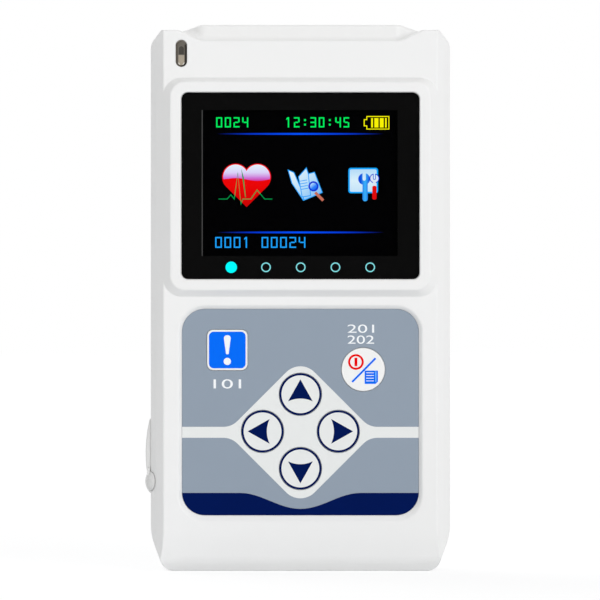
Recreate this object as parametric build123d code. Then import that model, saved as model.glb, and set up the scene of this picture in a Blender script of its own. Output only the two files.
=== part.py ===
from build123d import *
import math
import os

# Holter monitor: a hand-sized recorder with a display, six keys and two AA cells.
# Millimetres. The recorder stands on its flat foot: +Z runs up along it, the display
# faces -Y, and +X is to the right as seen from the front. The origin is the middle of
# the foot, half way through the casing's depth.

# Display: its lit area drives the window, the bezel pad and the casing's width
ACTIVE_WIDTH = 40.8
ACTIVE_LENGTH = 30.6
ACTIVE_RAISE = 0.6          # the lit area's centre above the window's centre
ACTIVE_MARGIN = 1.0         # casing opening around the lit area
LCD_SIDE_BORDER = 2.9       # module around the lit area
LCD_END_BORDER = 3.1
LCD_THICKNESS = 2.6
LCD_RIM = 0.9
LCD_GLASS_THICKNESS = 1.4
LCD_GAP = 0.25
LCD_FOOT = 2.0
GASKET_THICKNESS = 0.5
GASKET_INSET = 0.4
FLEX_WIDTH = 18.0
FLEX_THICKNESS = 0.15
CONNECTOR_WIDTH = 22.0
CONNECTOR_LENGTH = 2.6
CONNECTOR_HEIGHT = 0.9
CONNECTOR_DROP = 1.8        # from the display's lower edge to its connector

# Window and the raised bezel pad round it
WINDOW_SIDE_BORDER = 4.65   # black border around the lit area
WINDOW_END_BORDER = 4.35
WINDOW_CORNER = 1.5
WINDOW_THICKNESS = 1.0
WINDOW_RECESS = 0.15
WINDOW_GAP = 0.05
LEDGE_THICKNESS = 1.0
PAD_SIDE_RIM = 2.25
PAD_END_RIM = 2.2
PAD_HEIGHT = 2.0
PAD_TOP_RUN = 0.84
PAD_BOTTOM_RUN = 1.37
PAD_CORNER = 3.1
PAD_SINK = 0.5

# Casing, cut across
CASE_WALL = 1.8
SIDE_SLOPE = 0.75           # sideways run of a slope for each millimetre of depth
SLOPE_DEPTH = 2.1
SIDE_BAND_DEPTH = 2.0       # steeper band behind the slope
SIDE_BAND_RUN = 1.125
EDGE_ROUND = 0.4
FACE_ROUND = 0.5            # round the pocket's mouth and the crest
BACK_ROUND = 4.0
PARTING_DEPTH = 12.4        # from the front face to the line between the shells
SEAM_WIDTH = 0.3            # fine groove along that line
SEAM_DEPTH = 0.25
TONGUE_THICKNESS = 0.8      # inner lip that locates one shell in the other
TONGUE_HEIGHT = 1.2
TONGUE_GAP = 0.1

# Casing, seen from the front
KEYPAD_BOTTOM_Z = 11.75
KEYPAD_TO_PAD = 3.95
PAD_TO_SHOULDER = 10.9
CREST_RISE = 1.3            # the crest over the lead socket, above the shoulders
SHOULDER_RUN = 10.5         # from the casing's side to the crest's flat top
CREST_RUN = 4.0             # slope at each end of the crest
CREST_BLEND = 3.0
LEDGE_DROP = 2.1            # the scooped lip in front of the crest, below the shoulders
SCOOP_OVERRUN = 0.5         # past the crest's foot, so that the scoop runs out without a step
SCOOP_ROUND = 1.2           # where the scooped lip turns up into the crest's front wall
CORNER_RUN = 2.3            # chamfered top corners
CORNER_RISE = 2.8
FOOT_TAPER_RUN = 2.9        # tapered lower corners
FOOT_TAPER_RISE = 7.6
FOOT_CORNER_ROUND = 3.0
FOOT_TAPER_ROUND = 12.0

# Casing, seen from the side
FOOT_BEND_HEIGHT = 5.8      # middle of the curve where the front face turns back
FOOT_BEND_ROUND = 20.0
FOOT_LINE_HEIGHT = 2.2
FOOT_LINE_ROUND = 4.0
FOOT_DROP = 1.0
FOOT_LIP_DEPTH = 3.0
FOOT_BACK_ROUND = 2.5
TOP_BACK_ROUND = 3.0
RISER_DEPTH = 5.9           # from the front face back to the crest's front wall
RISER_CORNER = 4.0

# Keypad pocket and overlay film
OVERLAY_SIDE_MARGIN = 3.9   # from the front face's edge
OVERLAY_LENGTH = 43.4
OVERLAY_CORNER = 4.8
OVERLAY_THICKNESS = 0.3
OVERLAY_GAP = 0.05
POCKET_DEPTH = 0.7
POCKET_SIDE_RUN = 0.7
POCKET_TOP_RUN = 0.7
POCKET_BOTTOM_RUN = 1.3

# Keys, placed from the overlay's edges
ARROWS_FROM_BOTTOM = 17.65
ARROW_REACH_X = 7.95
ARROW_REACH_Z = 7.8
ARROW_KEY_DIAMETER = 8.86
MENU_KEY_DIAMETER = 9.1
MENU_KEY_FROM_SIDE = 11.7
MENU_KEY_FROM_TOP = 12.75
MARK_KEY_SIZE = 8.5
MARK_KEY_CORNER = 1.3
MARK_KEY_FROM_SIDE = 9.55
MARK_KEY_FROM_TOP = 8.65
KEY_GAP = 0.1
KEY_PROUD = 0.1
KEY_EDGE_ROUND = 0.12
KEY_TRAVEL = 0.3
KEY_FLANGE_RIM = 0.6
KEY_FLANGE_THICKNESS = 0.5
KEY_FLANGE_GAP = 0.05
KEY_STEM_DIAMETER = 3.0
KEY_STEM_LENGTH = 0.3
KEY_PRESS_MARGIN = 0.05
SWITCH_SIZE = 4.5
SWITCH_BODY_HEIGHT = 0.6
SWITCH_BUTTON_HEIGHT = 0.2
SWITCH_BUTTON_DIAMETER = 2.0

# Boards and what stands on them
BOARD_THICKNESS = 1.0
BOARD_EDGE_GAP = 0.7
BOARD_GAP = 0.3
BOARD_TOP_GAP = 0.4
SIGNAL_BOARD_WIDTH = 40.0
SIGNAL_BOARD_THICKNESS = 1.2
SIGNAL_BOARD_CLEARANCE = 2.0   # above the cell bay
SHIELD_WIDTH = 22.0
SHIELD_LENGTH = 15.0
SHIELD_HEIGHT = 2.4
SHIELD_WALL = 0.3
SHIELD_RISE = 20.0             # its centre above the signal board's lower edge
LINK_WIDTH = 20.0
LINK_LENGTH = 2.5
CHIP_HEIGHT = 1.2
CHIP_SPACING = 5.0
PROCESSOR_SIZE = 10.0
PROCESSOR_RISE = 20.5          # its centre above the signal board's lower edge
MEMORY_WIDTH = 8.0
MEMORY_LENGTH = 11.0
CODEC_SIZE = 5.0
CRYSTAL_WIDTH = 3.2
CRYSTAL_LENGTH = 1.6
COIL_SIZE = 6.0
COIL_HEIGHT = 1.6
BUZZER_FROM_SIDE = 11.0
BUZZER_RISE = 15.0
BUZZER_DIAMETER = 9.0
BUZZER_HEIGHT = 2.8
BUZZER_HOLE = 1.6
CLOCK_CELL_FROM_SIDE = 13.9
CLOCK_CELL_DIAMETER = 12.5
CLOCK_CELL_THICKNESS = 2.0
CLIP_THICKNESS = 0.3
CLIP_WIDTH = 4.0

# Cells, their bay and its door
CELL_DIAMETER = 14.5
CELL_LENGTH = 50.5
CELL_NUB_DIAMETER = 5.5
CELL_NUB_HEIGHT = 1.2
CELL_EDGE_CHAMFER = 0.4
CELL_GAP = 0.25
BAY_WALL = 1.0
BAY_RISE = 3.05             # bay's lower end above the door's lower edge
BAY_DOOR_LAP = 2.0          # door's upper edge above the bay
SPRING_LENGTH = 4.0
SPRING_WIRE = 0.6
SPRING_DIAMETER = 7.0
SPRING_TURNS = 3
SPRING_CONE_ANGLE = 15
PLATE_THICKNESS = 0.4
PLATE_WIDTH = 11.0
PLATE_TAB_WIDTH = 3.0
PLATE_TAB_GAP = 0.1
DOOR_BOTTOM_Z = 10.15
DOOR_SIDE_LAP = 2.475       # door's side beyond the bay
DOOR_CORNER = 2.5
DOOR_THICKNESS = 1.5
DOOR_GAP = 0.15
DOOR_SEAT_GAP = 0.05
DOOR_FRAME = 1.2            # thickness and width of the frame that carries the door
DOOR_TAB_X = 9.0
DOOR_TAB_WIDTH = 5.0
DOOR_TAB_DEPTH = 0.8
DOOR_TAB_LENGTH = 2.0
DOOR_TAB_GAP = 0.1
DOOR_TAB_SIDE_GAP = 0.2
DOOR_TAB_SWEEP = 0.9        # room behind and below a tab for its swing
DOOR_LATCH_WIDTH = 9.0
DOOR_LATCH_LENGTH = 8.0
DOOR_SLIT = 0.7
DOOR_CATCH_WIDTH = 6.0
DOOR_CATCH_THICKNESS = 0.9
DOOR_CATCH_DEPTH = 1.5
DOOR_CATCH_GAP = 0.15
DOOR_RIB_WIDTH = 1.2
DOOR_RIB_DEPTH = 2.5
GRIP_GROOVES = 5
GRIP_GROOVE_PITCH = 1.6
GRIP_GROOVE_WIDTH = 0.7
GRIP_GROOVE_DEPTH = 0.3
GRIP_GROOVE_LENGTH = 14.0

# Screws, bosses and posts
SCREW_FROM_SIDE = 5.1
SCREW_LOW_Z = 9.0
SCREW_FROM_TOP = 9.8        # below the cavity's top
SCREW_DIAMETER = 2.0
SCREW_LENGTH = 11.0
SCREW_HEAD_DIAMETER = 3.8
SCREW_HEAD_HEIGHT = 1.5
SCREW_SINK = 6.0            # depth of the head's seat below the back
DRIVE_LENGTH_SHARE = 0.55   # cross recess across the head
DRIVE_WIDTH_SHARE = 0.25
SCREW_FIT = 0.05            # gap round a shank in its pilot hole
SCREW_FREE_FIT = 0.2        # gap round a shank in its free hole
BOSS_DIAMETER = 5.2
COLUMN_DIAMETER = 6.4
BOSS_RIB = 1.0
BACK_RIB_WIDTH = 0.8        # ribs that stiffen the back wall
BACK_RIB_HEIGHT = 1.0
BACK_RIB_SPACING = 12.0
POST_DIAMETER = 4.0
POST_HIGH_FROM_SIDE = 12.0
POST_FROM_TOP = 4.8
POST_LOW_FROM_SIDE = 10.7
POST_LOW_Z = 7.0
SMALL_SCREW_DIAMETER = 1.4
SMALL_SCREW_LENGTH = 2.6
SMALL_HEAD_DIAMETER = 2.8
SMALL_HEAD_HEIGHT = 0.8
SIGNAL_POST_INSET = 3.5

# Lead socket in the crest
SOCKET_WIDTH = 31.0
SOCKET_DEPTH = 8.5
SOCKET_CORNER = 1.5
SOCKET_GAP = 0.1
SOCKET_RECESS = 0.5
SOCKET_FLANGE_RIM = 1.6
SOCKET_FLANGE_HEIGHT = 2.0
SOCKET_BASE_HEIGHT = 2.4
SOCKET_SIDE_WALL = 2.2
SOCKET_END_WALL = 1.55
SOCKET_MOUTH_TAPER = 0.8    # the mouth is narrower at the back, so the plug fits one way
SOCKET_MOUTH_LENGTH = 8.4
CONTACT_DIAMETER = 0.8
CONTACT_PITCH = 2.77
CONTACT_ROW_SPACING = 2.54
CONTACT_FRONT_COUNT = 8
CONTACT_BACK_COUNT = 7
CONTACT_LENGTH = 3.2
CONTACT_TAIL = 2.6

# Data port and its flap, on the left side
PORT_Z = 26.5
USB_WIDTH = 7.7
USB_HEIGHT = 3.9
USB_LENGTH = 9.2
USB_WALL = 0.35
USB_CORNER = 0.8
USB_WALL_GAP = 0.3
TONGUE_WIDTH = 4.6
USB_TONGUE_THICKNESS = 0.9
USB_TONGUE_LENGTH = 6.0
PORT_OPENING_MARGIN = 0.4
FLAP_LENGTH = 10.9
FLAP_WIDTH = 5.8
FLAP_BULGE = 1.05           # how far its plate stands out of the casing's side
FLAP_END_BULGE = 0.85       # the same at its lower end
FLAP_RECESS = 0.6
FLAP_GAP = 0.1
FLAP_ROUND = 0.3
BARREL_RADIUS = 0.5
BARREL_SINK = 0.8
BARREL_ROOM = 0.35
BROW_REACH = 1.15           # the plate's rounded upper end, from the hinge axis
BROW_ANGLE = math.radians(25)
BROW_ROOM = 1.0             # room above the flap, in which that end swings
PIVOT_DIAMETER = 0.6
PIVOT_LENGTH = 0.45
PIVOT_FIT = 0.05
GRIP_RADIUS = 2.6
GRIP_BULGE = 1.2
GRIP_OVERLAP = 0.4
GRIP_FRONT_SHIFT = 1.9
GRIP_NECK_WIDTH = 3.0
GRIP_NECK_THICKNESS = 0.6

# Indicator
INDICATOR_FROM_SIDE = 6.5
INDICATOR_FROM_TOP = 4.9    # its centre below the shoulder
INDICATOR_WIDTH = 2.4
INDICATOR_LENGTH = 5.7
INDICATOR_RECESS = 0.35
LENS_THICKNESS = 0.8
LENS_GAP = 0.03
LENS_LEDGE = 0.3
LED_DROP = 1.3              # below the slot's centre
LED_WIDTH = 1.6
LED_LENGTH = 2.2
LED_BASE_HEIGHT = 1.3
LED_DOME_RADIUS = 0.7

# Depth: what has to fit between the front wall and the back adds up to the casing's depth
SWITCH_HEIGHT = SWITCH_BODY_HEIGHT + SWITCH_BUTTON_HEIGHT
KEY_STACK = KEY_FLANGE_GAP + KEY_FLANGE_THICKNESS + KEY_STEM_LENGTH + KEY_TRAVEL + KEY_PRESS_MARGIN
CELL_STACK = BAY_WALL + CELL_GAP + CELL_DIAMETER + CELL_GAP + DOOR_THICKNESS
CASE_DEPTH = CASE_WALL + KEY_STACK + SWITCH_HEIGHT + BOARD_THICKNESS + BOARD_GAP + CELL_STACK
FRONT_Y = -CASE_DEPTH / 2
BACK_Y = CASE_DEPTH / 2
INNER_FRONT_Y = FRONT_Y + CASE_WALL
INNER_BACK_Y = BACK_Y - CASE_WALL
FLANGE_FRONT_Y = INNER_FRONT_Y + KEY_FLANGE_GAP
FLANGE_REAR_Y = FLANGE_FRONT_Y + KEY_FLANGE_THICKNESS
STEM_END_Y = FLANGE_REAR_Y + KEY_STEM_LENGTH
BOARD_FRONT_Y = INNER_FRONT_Y + KEY_STACK + SWITCH_HEIGHT
BOARD_REAR_Y = BOARD_FRONT_Y + BOARD_THICKNESS
BAY_FRONT_Y = BOARD_REAR_Y + BOARD_GAP
BAY_FLOOR_Y = BAY_FRONT_Y + BAY_WALL
CELL_Y = BAY_FLOOR_Y + CELL_GAP + CELL_DIAMETER / 2
DOOR_INNER_Y = BACK_Y - DOOR_THICKNESS
PARTING_Y = FRONT_Y + PARTING_DEPTH
OVERLAY_FRONT_Y = FRONT_Y + POCKET_DEPTH
OVERLAY_REAR_Y = OVERLAY_FRONT_Y + OVERLAY_THICKNESS
PAD_Y = FRONT_Y - PAD_HEIGHT
WINDOW_FRONT_Y = PAD_Y + WINDOW_RECESS
WINDOW_REAR_Y = WINDOW_FRONT_Y + WINDOW_THICKNESS
LEDGE_REAR_Y = WINDOW_REAR_Y + LEDGE_THICKNESS
LCD_FRONT_Y = LEDGE_REAR_Y + GASKET_THICKNESS
LCD_REAR_Y = LCD_FRONT_Y + LCD_THICKNESS
RISER_Y = FRONT_Y + RISER_DEPTH

# Widths: the display's adds up to the casing's
LCD_WIDTH = ACTIVE_WIDTH + 2 * LCD_SIDE_BORDER
WINDOW_WIDTH = ACTIVE_WIDTH + 2 * WINDOW_SIDE_BORDER
PAD_WIDTH = WINDOW_WIDTH + 2 * PAD_SIDE_RIM
FACE_WIDTH = PAD_WIDTH + 2 * SIDE_SLOPE * PAD_HEIGHT
CASE_WIDTH = FACE_WIDTH + 2 * (SIDE_SLOPE * SLOPE_DEPTH + SIDE_BAND_RUN)
SIDE_X = CASE_WIDTH / 2
OVERLAY_WIDTH = FACE_WIDTH - 2 * OVERLAY_SIDE_MARGIN
CREST_TOP_X = SIDE_X - SHOULDER_RUN
CREST_BASE_X = CREST_TOP_X + CREST_RUN
SCREW_X = SIDE_X - SCREW_FROM_SIDE
POST_HIGH_X = SIDE_X - POST_HIGH_FROM_SIDE
POST_LOW_X = SIDE_X - POST_LOW_FROM_SIDE
SIGNAL_POST_X = SIGNAL_BOARD_WIDTH / 2 - SIGNAL_POST_INSET
BUZZER_X = SIDE_X - BUZZER_FROM_SIDE
CLOCK_CELL_X = -(SIDE_X - CLOCK_CELL_FROM_SIDE)
CELL_X = (CELL_DIAMETER + CELL_GAP) / 2
BAY_HALF_WIDTH = CELL_DIAMETER + 1.5 * CELL_GAP
DOOR_WIDTH = 2 * (BAY_HALF_WIDTH + DOOR_SIDE_LAP)
MENU_KEY_X = OVERLAY_WIDTH / 2 - MENU_KEY_FROM_SIDE
MARK_KEY_X = MARK_KEY_FROM_SIDE - OVERLAY_WIDTH / 2
INDICATOR_X = INDICATOR_FROM_SIDE - SIDE_X

# Heights: foot, keypad, display and crest add up to the casing's
LCD_LENGTH = ACTIVE_LENGTH + 2 * LCD_END_BORDER
WINDOW_LENGTH = ACTIVE_LENGTH + 2 * WINDOW_END_BORDER
PAD_LENGTH = WINDOW_LENGTH + 2 * PAD_END_RIM
OVERLAY_CENTRE_Z = KEYPAD_BOTTOM_Z + OVERLAY_LENGTH / 2
OVERLAY_TOP_Z = KEYPAD_BOTTOM_Z + OVERLAY_LENGTH
PAD_CENTRE_Z = OVERLAY_TOP_Z + KEYPAD_TO_PAD + PAD_LENGTH / 2
SHOULDER_HEIGHT = PAD_CENTRE_Z + PAD_LENGTH / 2 + PAD_TO_SHOULDER
CREST_HEIGHT = SHOULDER_HEIGHT + CREST_RISE
LEDGE_HEIGHT = SHOULDER_HEIGHT - LEDGE_DROP
CAVITY_TOP_Z = LEDGE_HEIGHT - CASE_WALL
ACTIVE_CENTRE_Z = PAD_CENTRE_Z + ACTIVE_RAISE
CONNECTOR_TOP_Z = ACTIVE_CENTRE_Z - LCD_LENGTH / 2 - CONNECTOR_DROP
PAD_KEYS_Z = KEYPAD_BOTTOM_Z + ARROWS_FROM_BOTTOM
MENU_KEY_Z = OVERLAY_TOP_Z - MENU_KEY_FROM_TOP
MARK_KEY_Z = OVERLAY_TOP_Z - MARK_KEY_FROM_TOP
BAY_BOTTOM_Z = DOOR_BOTTOM_Z + BAY_RISE
BAY_TOP_Z = BAY_BOTTOM_Z + CELL_LENGTH + SPRING_LENGTH + 2 * PLATE_THICKNESS
DOOR_TOP_Z = BAY_TOP_Z + BAY_DOOR_LAP
SCREW_HIGH_Z = CAVITY_TOP_Z - SCREW_FROM_TOP
POST_HIGH_Z = CAVITY_TOP_Z - POST_FROM_TOP
INDICATOR_Z = SHOULDER_HEIGHT - INDICATOR_FROM_TOP
LED_Z = INDICATOR_Z - LED_DROP

# Lead socket and the board behind it
SOCKET_Y = PARTING_Y
SOCKET_TOP_Z = CREST_HEIGHT - SOCKET_RECESS
SOCKET_BOTTOM_Z = SOCKET_TOP_Z - SOCKET_MOUTH_LENGTH - SOCKET_BASE_HEIGHT
SIGNAL_FRONT_Y = SOCKET_Y - SIGNAL_BOARD_THICKNESS / 2
SIGNAL_REAR_Y = SOCKET_Y + SIGNAL_BOARD_THICKNESS / 2
SIGNAL_BOTTOM_Z = BAY_TOP_Z + BAY_WALL + SIGNAL_BOARD_CLEARANCE
SIGNAL_POST_Z = SIGNAL_BOTTOM_Z + SIGNAL_POST_INSET
PROCESSOR_Z = SIGNAL_BOTTOM_Z + PROCESSOR_RISE
BUZZER_Z = SIGNAL_BOTTOM_Z + BUZZER_RISE
CLOCK_CELL_Z = BUZZER_Z

# Data port and flap
USB_MOUTH_X = -(SIDE_X - CASE_WALL - USB_WALL_GAP)
USB_Y = BOARD_REAR_Y + USB_HEIGHT / 2
FLAP_FRONT_Y = USB_Y - USB_HEIGHT / 2 - PORT_OPENING_MARGIN
FLAP_REAR_Y = FLAP_FRONT_Y + FLAP_WIDTH
FLAP_TOP_Z = PORT_Z + FLAP_LENGTH / 2
FLAP_BOTTOM_Z = PORT_Z - FLAP_LENGTH / 2
BARREL_X = -(SIDE_X - BARREL_SINK)
BARREL_Z = FLAP_TOP_Z - BARREL_RADIUS
FAR = 2 * CASE_WIDTH        # longer than any cut needs
HAIR = 0.01                 # tolerance when edges are picked by their place


def block(x, y, z):
    """A box between two values on each axis."""
    spans = [sorted(pair) for pair in (x, y, z)]
    middle = [(low + high) / 2 for low, high in spans]
    size = [high - low for low, high in spans]
    return Pos(*middle) * Box(*size)


def slab(face, y0, y1):
    """A front-view outline (X across, Z up) made solid from depth y0 back to y1."""
    plane = Plane(origin=(0, y1, 0), x_dir=(1, 0, 0), z_dir=(0, -1, 0))
    return extrude(plane * face, amount=y1 - y0)


def rod(x, z, diameter, y0, y1):
    """A round rod along the depth."""
    return slab(Pos(x, z) * Circle(diameter / 2), y0, y1)


def rounded(points, inset=0):
    """A closed outline through (x, y, corner radius) points, or one that lies inside it by the inset."""
    face = make_face(Polyline([(x, y) for x, y, _ in points], close=True))
    if inset:
        face = offset(face, amount=-inset, kind=Kind.INTERSECTION)
    for x, y, radius in points:
        if radius > inset:
            face = fillet(face.vertices().sort_by_distance(Vector(x, y))[0:1], radius - inset)
    return face


def both_sides(half):
    """A right-hand half outline, completed with its mirror image."""
    return half + [(-x, y, radius) for x, y, radius in reversed(half)]


def four_corners(x, low_z, high_z):
    """The four places of a fixing that is mirrored left and right."""
    return [(side * x, z) for side in (-1, 1) for z in (low_z, high_z)]


def edges_within(body, reach_x, y_span, z_span):
    """The body's edges that lie wholly inside a reach to both sides, a depth span and a height span."""
    found = []
    for edge in body.edges():
        box = edge.bounding_box()
        if (
            max(-box.min.X, box.max.X) < reach_x + HAIR
            and y_span[0] - HAIR < box.min.Y and box.max.Y < y_span[1] + HAIR
            and z_span[0] - HAIR < box.min.Z and box.max.Z < z_span[1] + HAIR
        ):
            found.append(edge)
    return found


# Casing block

def front_outline(inset=0, with_crest=False):
    """The casing's outline from the front."""
    half = [
        (SIDE_X - FOOT_TAPER_RUN, 0, FOOT_CORNER_ROUND),
        (SIDE_X, FOOT_TAPER_RISE, FOOT_TAPER_ROUND),
        (SIDE_X, SHOULDER_HEIGHT - CORNER_RISE, CORNER_RISE),
        (SIDE_X - CORNER_RUN, SHOULDER_HEIGHT, EDGE_ROUND),
    ]
    if with_crest:
        half += [
            (CREST_BASE_X, SHOULDER_HEIGHT, CREST_BLEND),
            (CREST_TOP_X, CREST_HEIGHT, CREST_BLEND),
        ]
    return rounded(both_sides(half), inset)


def cross_section(inset=0):
    """The casing cut across: X to the right, Y to the back."""
    half = [
        (FACE_WIDTH / 2, FRONT_Y, EDGE_ROUND),
        (FACE_WIDTH / 2 + SIDE_SLOPE * SLOPE_DEPTH, FRONT_Y + SLOPE_DEPTH, EDGE_ROUND),
        (SIDE_X, FRONT_Y + SLOPE_DEPTH + SIDE_BAND_DEPTH, EDGE_ROUND),
        (SIDE_X, BACK_Y, BACK_ROUND),
    ]
    return rounded(both_sides(half), inset)


def side_outline(inset=0):
    """The casing from the side: Y to the back, Z up, with the foot's curve at the front."""
    return rounded([
        (FRONT_Y, CREST_HEIGHT, 0),
        (FRONT_Y, FOOT_BEND_HEIGHT, FOOT_BEND_ROUND),
        (FRONT_Y + FOOT_DROP, FOOT_LINE_HEIGHT, FOOT_LINE_ROUND),
        (FRONT_Y + FOOT_LIP_DEPTH, 0, EDGE_ROUND),
        (BACK_Y, 0, FOOT_BACK_ROUND),
        (BACK_Y, CREST_HEIGHT, TOP_BACK_ROUND),
    ], inset)


def three_way(across, front, side):
    """The solid that has one outline from above, one from the front and one from the side."""
    upright = extrude(across, amount=FAR)
    deep = slab(front, -FAR, FAR)
    wide = extrude(Plane.YZ.offset(-FAR) * side, amount=2 * FAR)
    return upright & deep & wide


def bezel_pad():
    """The raised pad: its sides run on in the plane of the casing's side slopes."""
    def outline(y, radius):
        depth = y - PAD_Y
        rise = PAD_TOP_RUN * depth / PAD_HEIGHT
        fall = PAD_BOTTOM_RUN * depth / PAD_HEIGHT
        width = FACE_WIDTH - 2 * SIDE_SLOPE * (PAD_HEIGHT - depth)
        centre = PAD_CENTRE_Z + (rise - fall) / 2
        plane = Plane(origin=(0, y, 0), x_dir=(1, 0, 0), z_dir=(0, -1, 0))
        return plane * Pos(0, centre) * RectangleRounded(width, PAD_LENGTH + rise + fall, radius)

    base_y = FRONT_Y + PAD_SINK
    base_corner = PAD_CORNER + SIDE_SLOPE * (PAD_HEIGHT + PAD_SINK) / 2
    pad = loft([outline(base_y, base_corner), outline(PAD_Y, PAD_CORNER)], ruled=True)
    return fillet(pad.faces().sort_by(Axis.Y)[0].edges(), EDGE_ROUND)


def scoop():
    """What is cut away in front of the crest: a dished lip whose back wall turns away at both ends."""
    end_x = CREST_BASE_X + SCOOP_OVERRUN
    dish = rounded(both_sides([
        (CREST_TOP_X, LEDGE_HEIGHT, CREST_BLEND),
        (end_x, SHOULDER_HEIGHT, 0),
        (end_x, FAR, 0),
    ]))
    plan = rounded(both_sides([
        (end_x, -FAR, 0),
        (end_x, RISER_Y + RISER_CORNER, 0),
        (CREST_TOP_X, RISER_Y, CREST_BLEND),
    ]))
    cutter = slab(dish, -FAR, FAR) & extrude(plan, amount=FAR)
    foot = edges_within(cutter, end_x, (RISER_Y, RISER_Y + RISER_CORNER), (LEDGE_HEIGHT, SHOULDER_HEIGHT))
    return fillet(foot, SCOOP_ROUND)


def casing():
    """The whole casing as one block, before it is hollowed and parted."""
    whole = three_way(cross_section(), front_outline(with_crest=True), side_outline())
    body = whole + bezel_pad() - keypad_pocket()
    face = (FRONT_Y, FRONT_Y)
    pocket_z = (KEYPAD_BOTTOM_Z - POCKET_BOTTOM_RUN, OVERLAY_TOP_Z + POCKET_TOP_RUN)
    body = fillet(edges_within(body, SIDE_X, face, pocket_z), FACE_ROUND)
    body -= scoop()
    lip = edges_within(body, CREST_BASE_X + SCOOP_OVERRUN, face, (LEDGE_HEIGHT, SHOULDER_HEIGHT))
    riser = (RISER_Y, RISER_Y + EDGE_ROUND)
    crest = edges_within(body, CREST_BASE_X, riser, (CREST_HEIGHT, CREST_HEIGHT))
    body = fillet(lip + crest, FACE_ROUND)
    seam_ring = front_outline(with_crest=True) - front_outline(SEAM_DEPTH, with_crest=True)
    return body - slab(seam_ring, PARTING_Y - SEAM_WIDTH / 2, PARTING_Y + SEAM_WIDTH / 2)


def cavity(inset):
    """The room inside the casing, this far in from its outer faces."""
    room = three_way(cross_section(inset), front_outline(inset), side_outline(inset))
    return room & block((-FAR, FAR), (-FAR, FAR), (0, CAVITY_TOP_Z + CASE_WALL - inset))


# Keys, their outlines and places, shared by the overlay, the shell and the switches

def key_outlines(growth):
    """Each key's outline in the front view, grown by a gap or a rim."""
    arrow = Circle(ARROW_KEY_DIAMETER / 2 + growth)
    square = MARK_KEY_SIZE + 2 * growth
    return {
        "mark_key": Pos(MARK_KEY_X, MARK_KEY_Z) * RectangleRounded(square, square, MARK_KEY_CORNER + growth),
        "menu_key": Pos(MENU_KEY_X, MENU_KEY_Z) * Circle(MENU_KEY_DIAMETER / 2 + growth),
        "up_key": Pos(0, PAD_KEYS_Z + ARROW_REACH_Z) * arrow,
        "down_key": Pos(0, PAD_KEYS_Z - ARROW_REACH_Z) * arrow,
        "left_key": Pos(-ARROW_REACH_X, PAD_KEYS_Z) * arrow,
        "right_key": Pos(ARROW_REACH_X, PAD_KEYS_Z) * arrow,
    }


def key_centres():
    """Each key's centre, as (x, z)."""
    return {name: (face.center().X, face.center().Y) for name, face in key_outlines(0).items()}


def key(name):
    """One key: the cap that shows, a flange that keeps it in the shell, and its stem."""
    cap = slab(key_outlines(0)[name], OVERLAY_FRONT_Y - KEY_PROUD, FLANGE_REAR_Y)
    cap = fillet(cap.faces().sort_by(Axis.Y)[0].edges(), KEY_EDGE_ROUND)
    flange = slab(key_outlines(KEY_FLANGE_RIM)[name], FLANGE_FRONT_Y, FLANGE_REAR_Y)
    x, z = key_centres()[name]
    return cap + flange + rod(x, z, KEY_STEM_DIAMETER, FLANGE_REAR_Y, STEM_END_Y)


def key_switches():
    """One switch on the board behind each key."""
    switches = []
    for x, z in key_centres().values():
        top_y = BOARD_FRONT_Y - SWITCH_BODY_HEIGHT
        body = slab(Pos(x, z) * Rectangle(SWITCH_SIZE, SWITCH_SIZE), top_y, BOARD_FRONT_Y)
        button = rod(x, z, SWITCH_BUTTON_DIAMETER, top_y - SWITCH_BUTTON_HEIGHT, top_y)
        switches.append(body + button)
    return Compound(children=switches)


def overlay_outline(shrink):
    """The overlay film's outline."""
    width = OVERLAY_WIDTH - 2 * shrink
    length = OVERLAY_LENGTH - 2 * shrink
    return Pos(0, OVERLAY_CENTRE_Z) * RectangleRounded(width, length, OVERLAY_CORNER - shrink)


def keypad_overlay():
    """The printed film, with a hole for each key."""
    film = overlay_outline(OVERLAY_GAP)
    for hole in key_outlines(KEY_GAP).values():
        film -= hole
    return slab(film, OVERLAY_FRONT_Y, OVERLAY_REAR_Y)


def keypad_pocket():
    """What the pocket takes out of the front: sloped walls, then a straight step for the film."""
    def outline(y, side, top, bottom):
        plane = Plane(origin=(0, y, 0), x_dir=(1, 0, 0), z_dir=(0, -1, 0))
        width = OVERLAY_WIDTH + 2 * side
        length = OVERLAY_LENGTH + top + bottom
        centre = OVERLAY_CENTRE_Z + (top - bottom) / 2
        return plane * Pos(0, centre) * RectangleRounded(width, length, OVERLAY_CORNER + side)

    mouth = outline(FRONT_Y, POCKET_SIDE_RUN, POCKET_TOP_RUN, POCKET_BOTTOM_RUN)
    slopes = loft([mouth, outline(OVERLAY_FRONT_Y, 0, 0, 0)], ruled=True)
    return slopes + slab(overlay_outline(0), OVERLAY_FRONT_Y, OVERLAY_REAR_Y)


# Fixings

def side_rib(x, z, y0, y1):
    """A rib from a screw's axis out into the nearer side wall."""
    wall_x = math.copysign(SIDE_X - CASE_WALL / 2, x)
    return block((x, wall_x), (y0, y1), (z - BOSS_RIB / 2, z + BOSS_RIB / 2))


def boss(x, z):
    """A screw boss in the front shell, tied to the side wall by a rib."""
    rib = side_rib(x, z, INNER_FRONT_Y, PARTING_Y)
    return rod(x, z, BOSS_DIAMETER, INNER_FRONT_Y - CASE_WALL / 2, PARTING_Y) + rib


def column(x, z):
    """A screw column in the rear shell, tied to the side wall by a rib."""
    rib = side_rib(x, z, PARTING_Y, INNER_BACK_Y)
    return rod(x, z, COLUMN_DIAMETER, PARTING_Y, INNER_BACK_Y + CASE_WALL / 2) + rib


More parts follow.
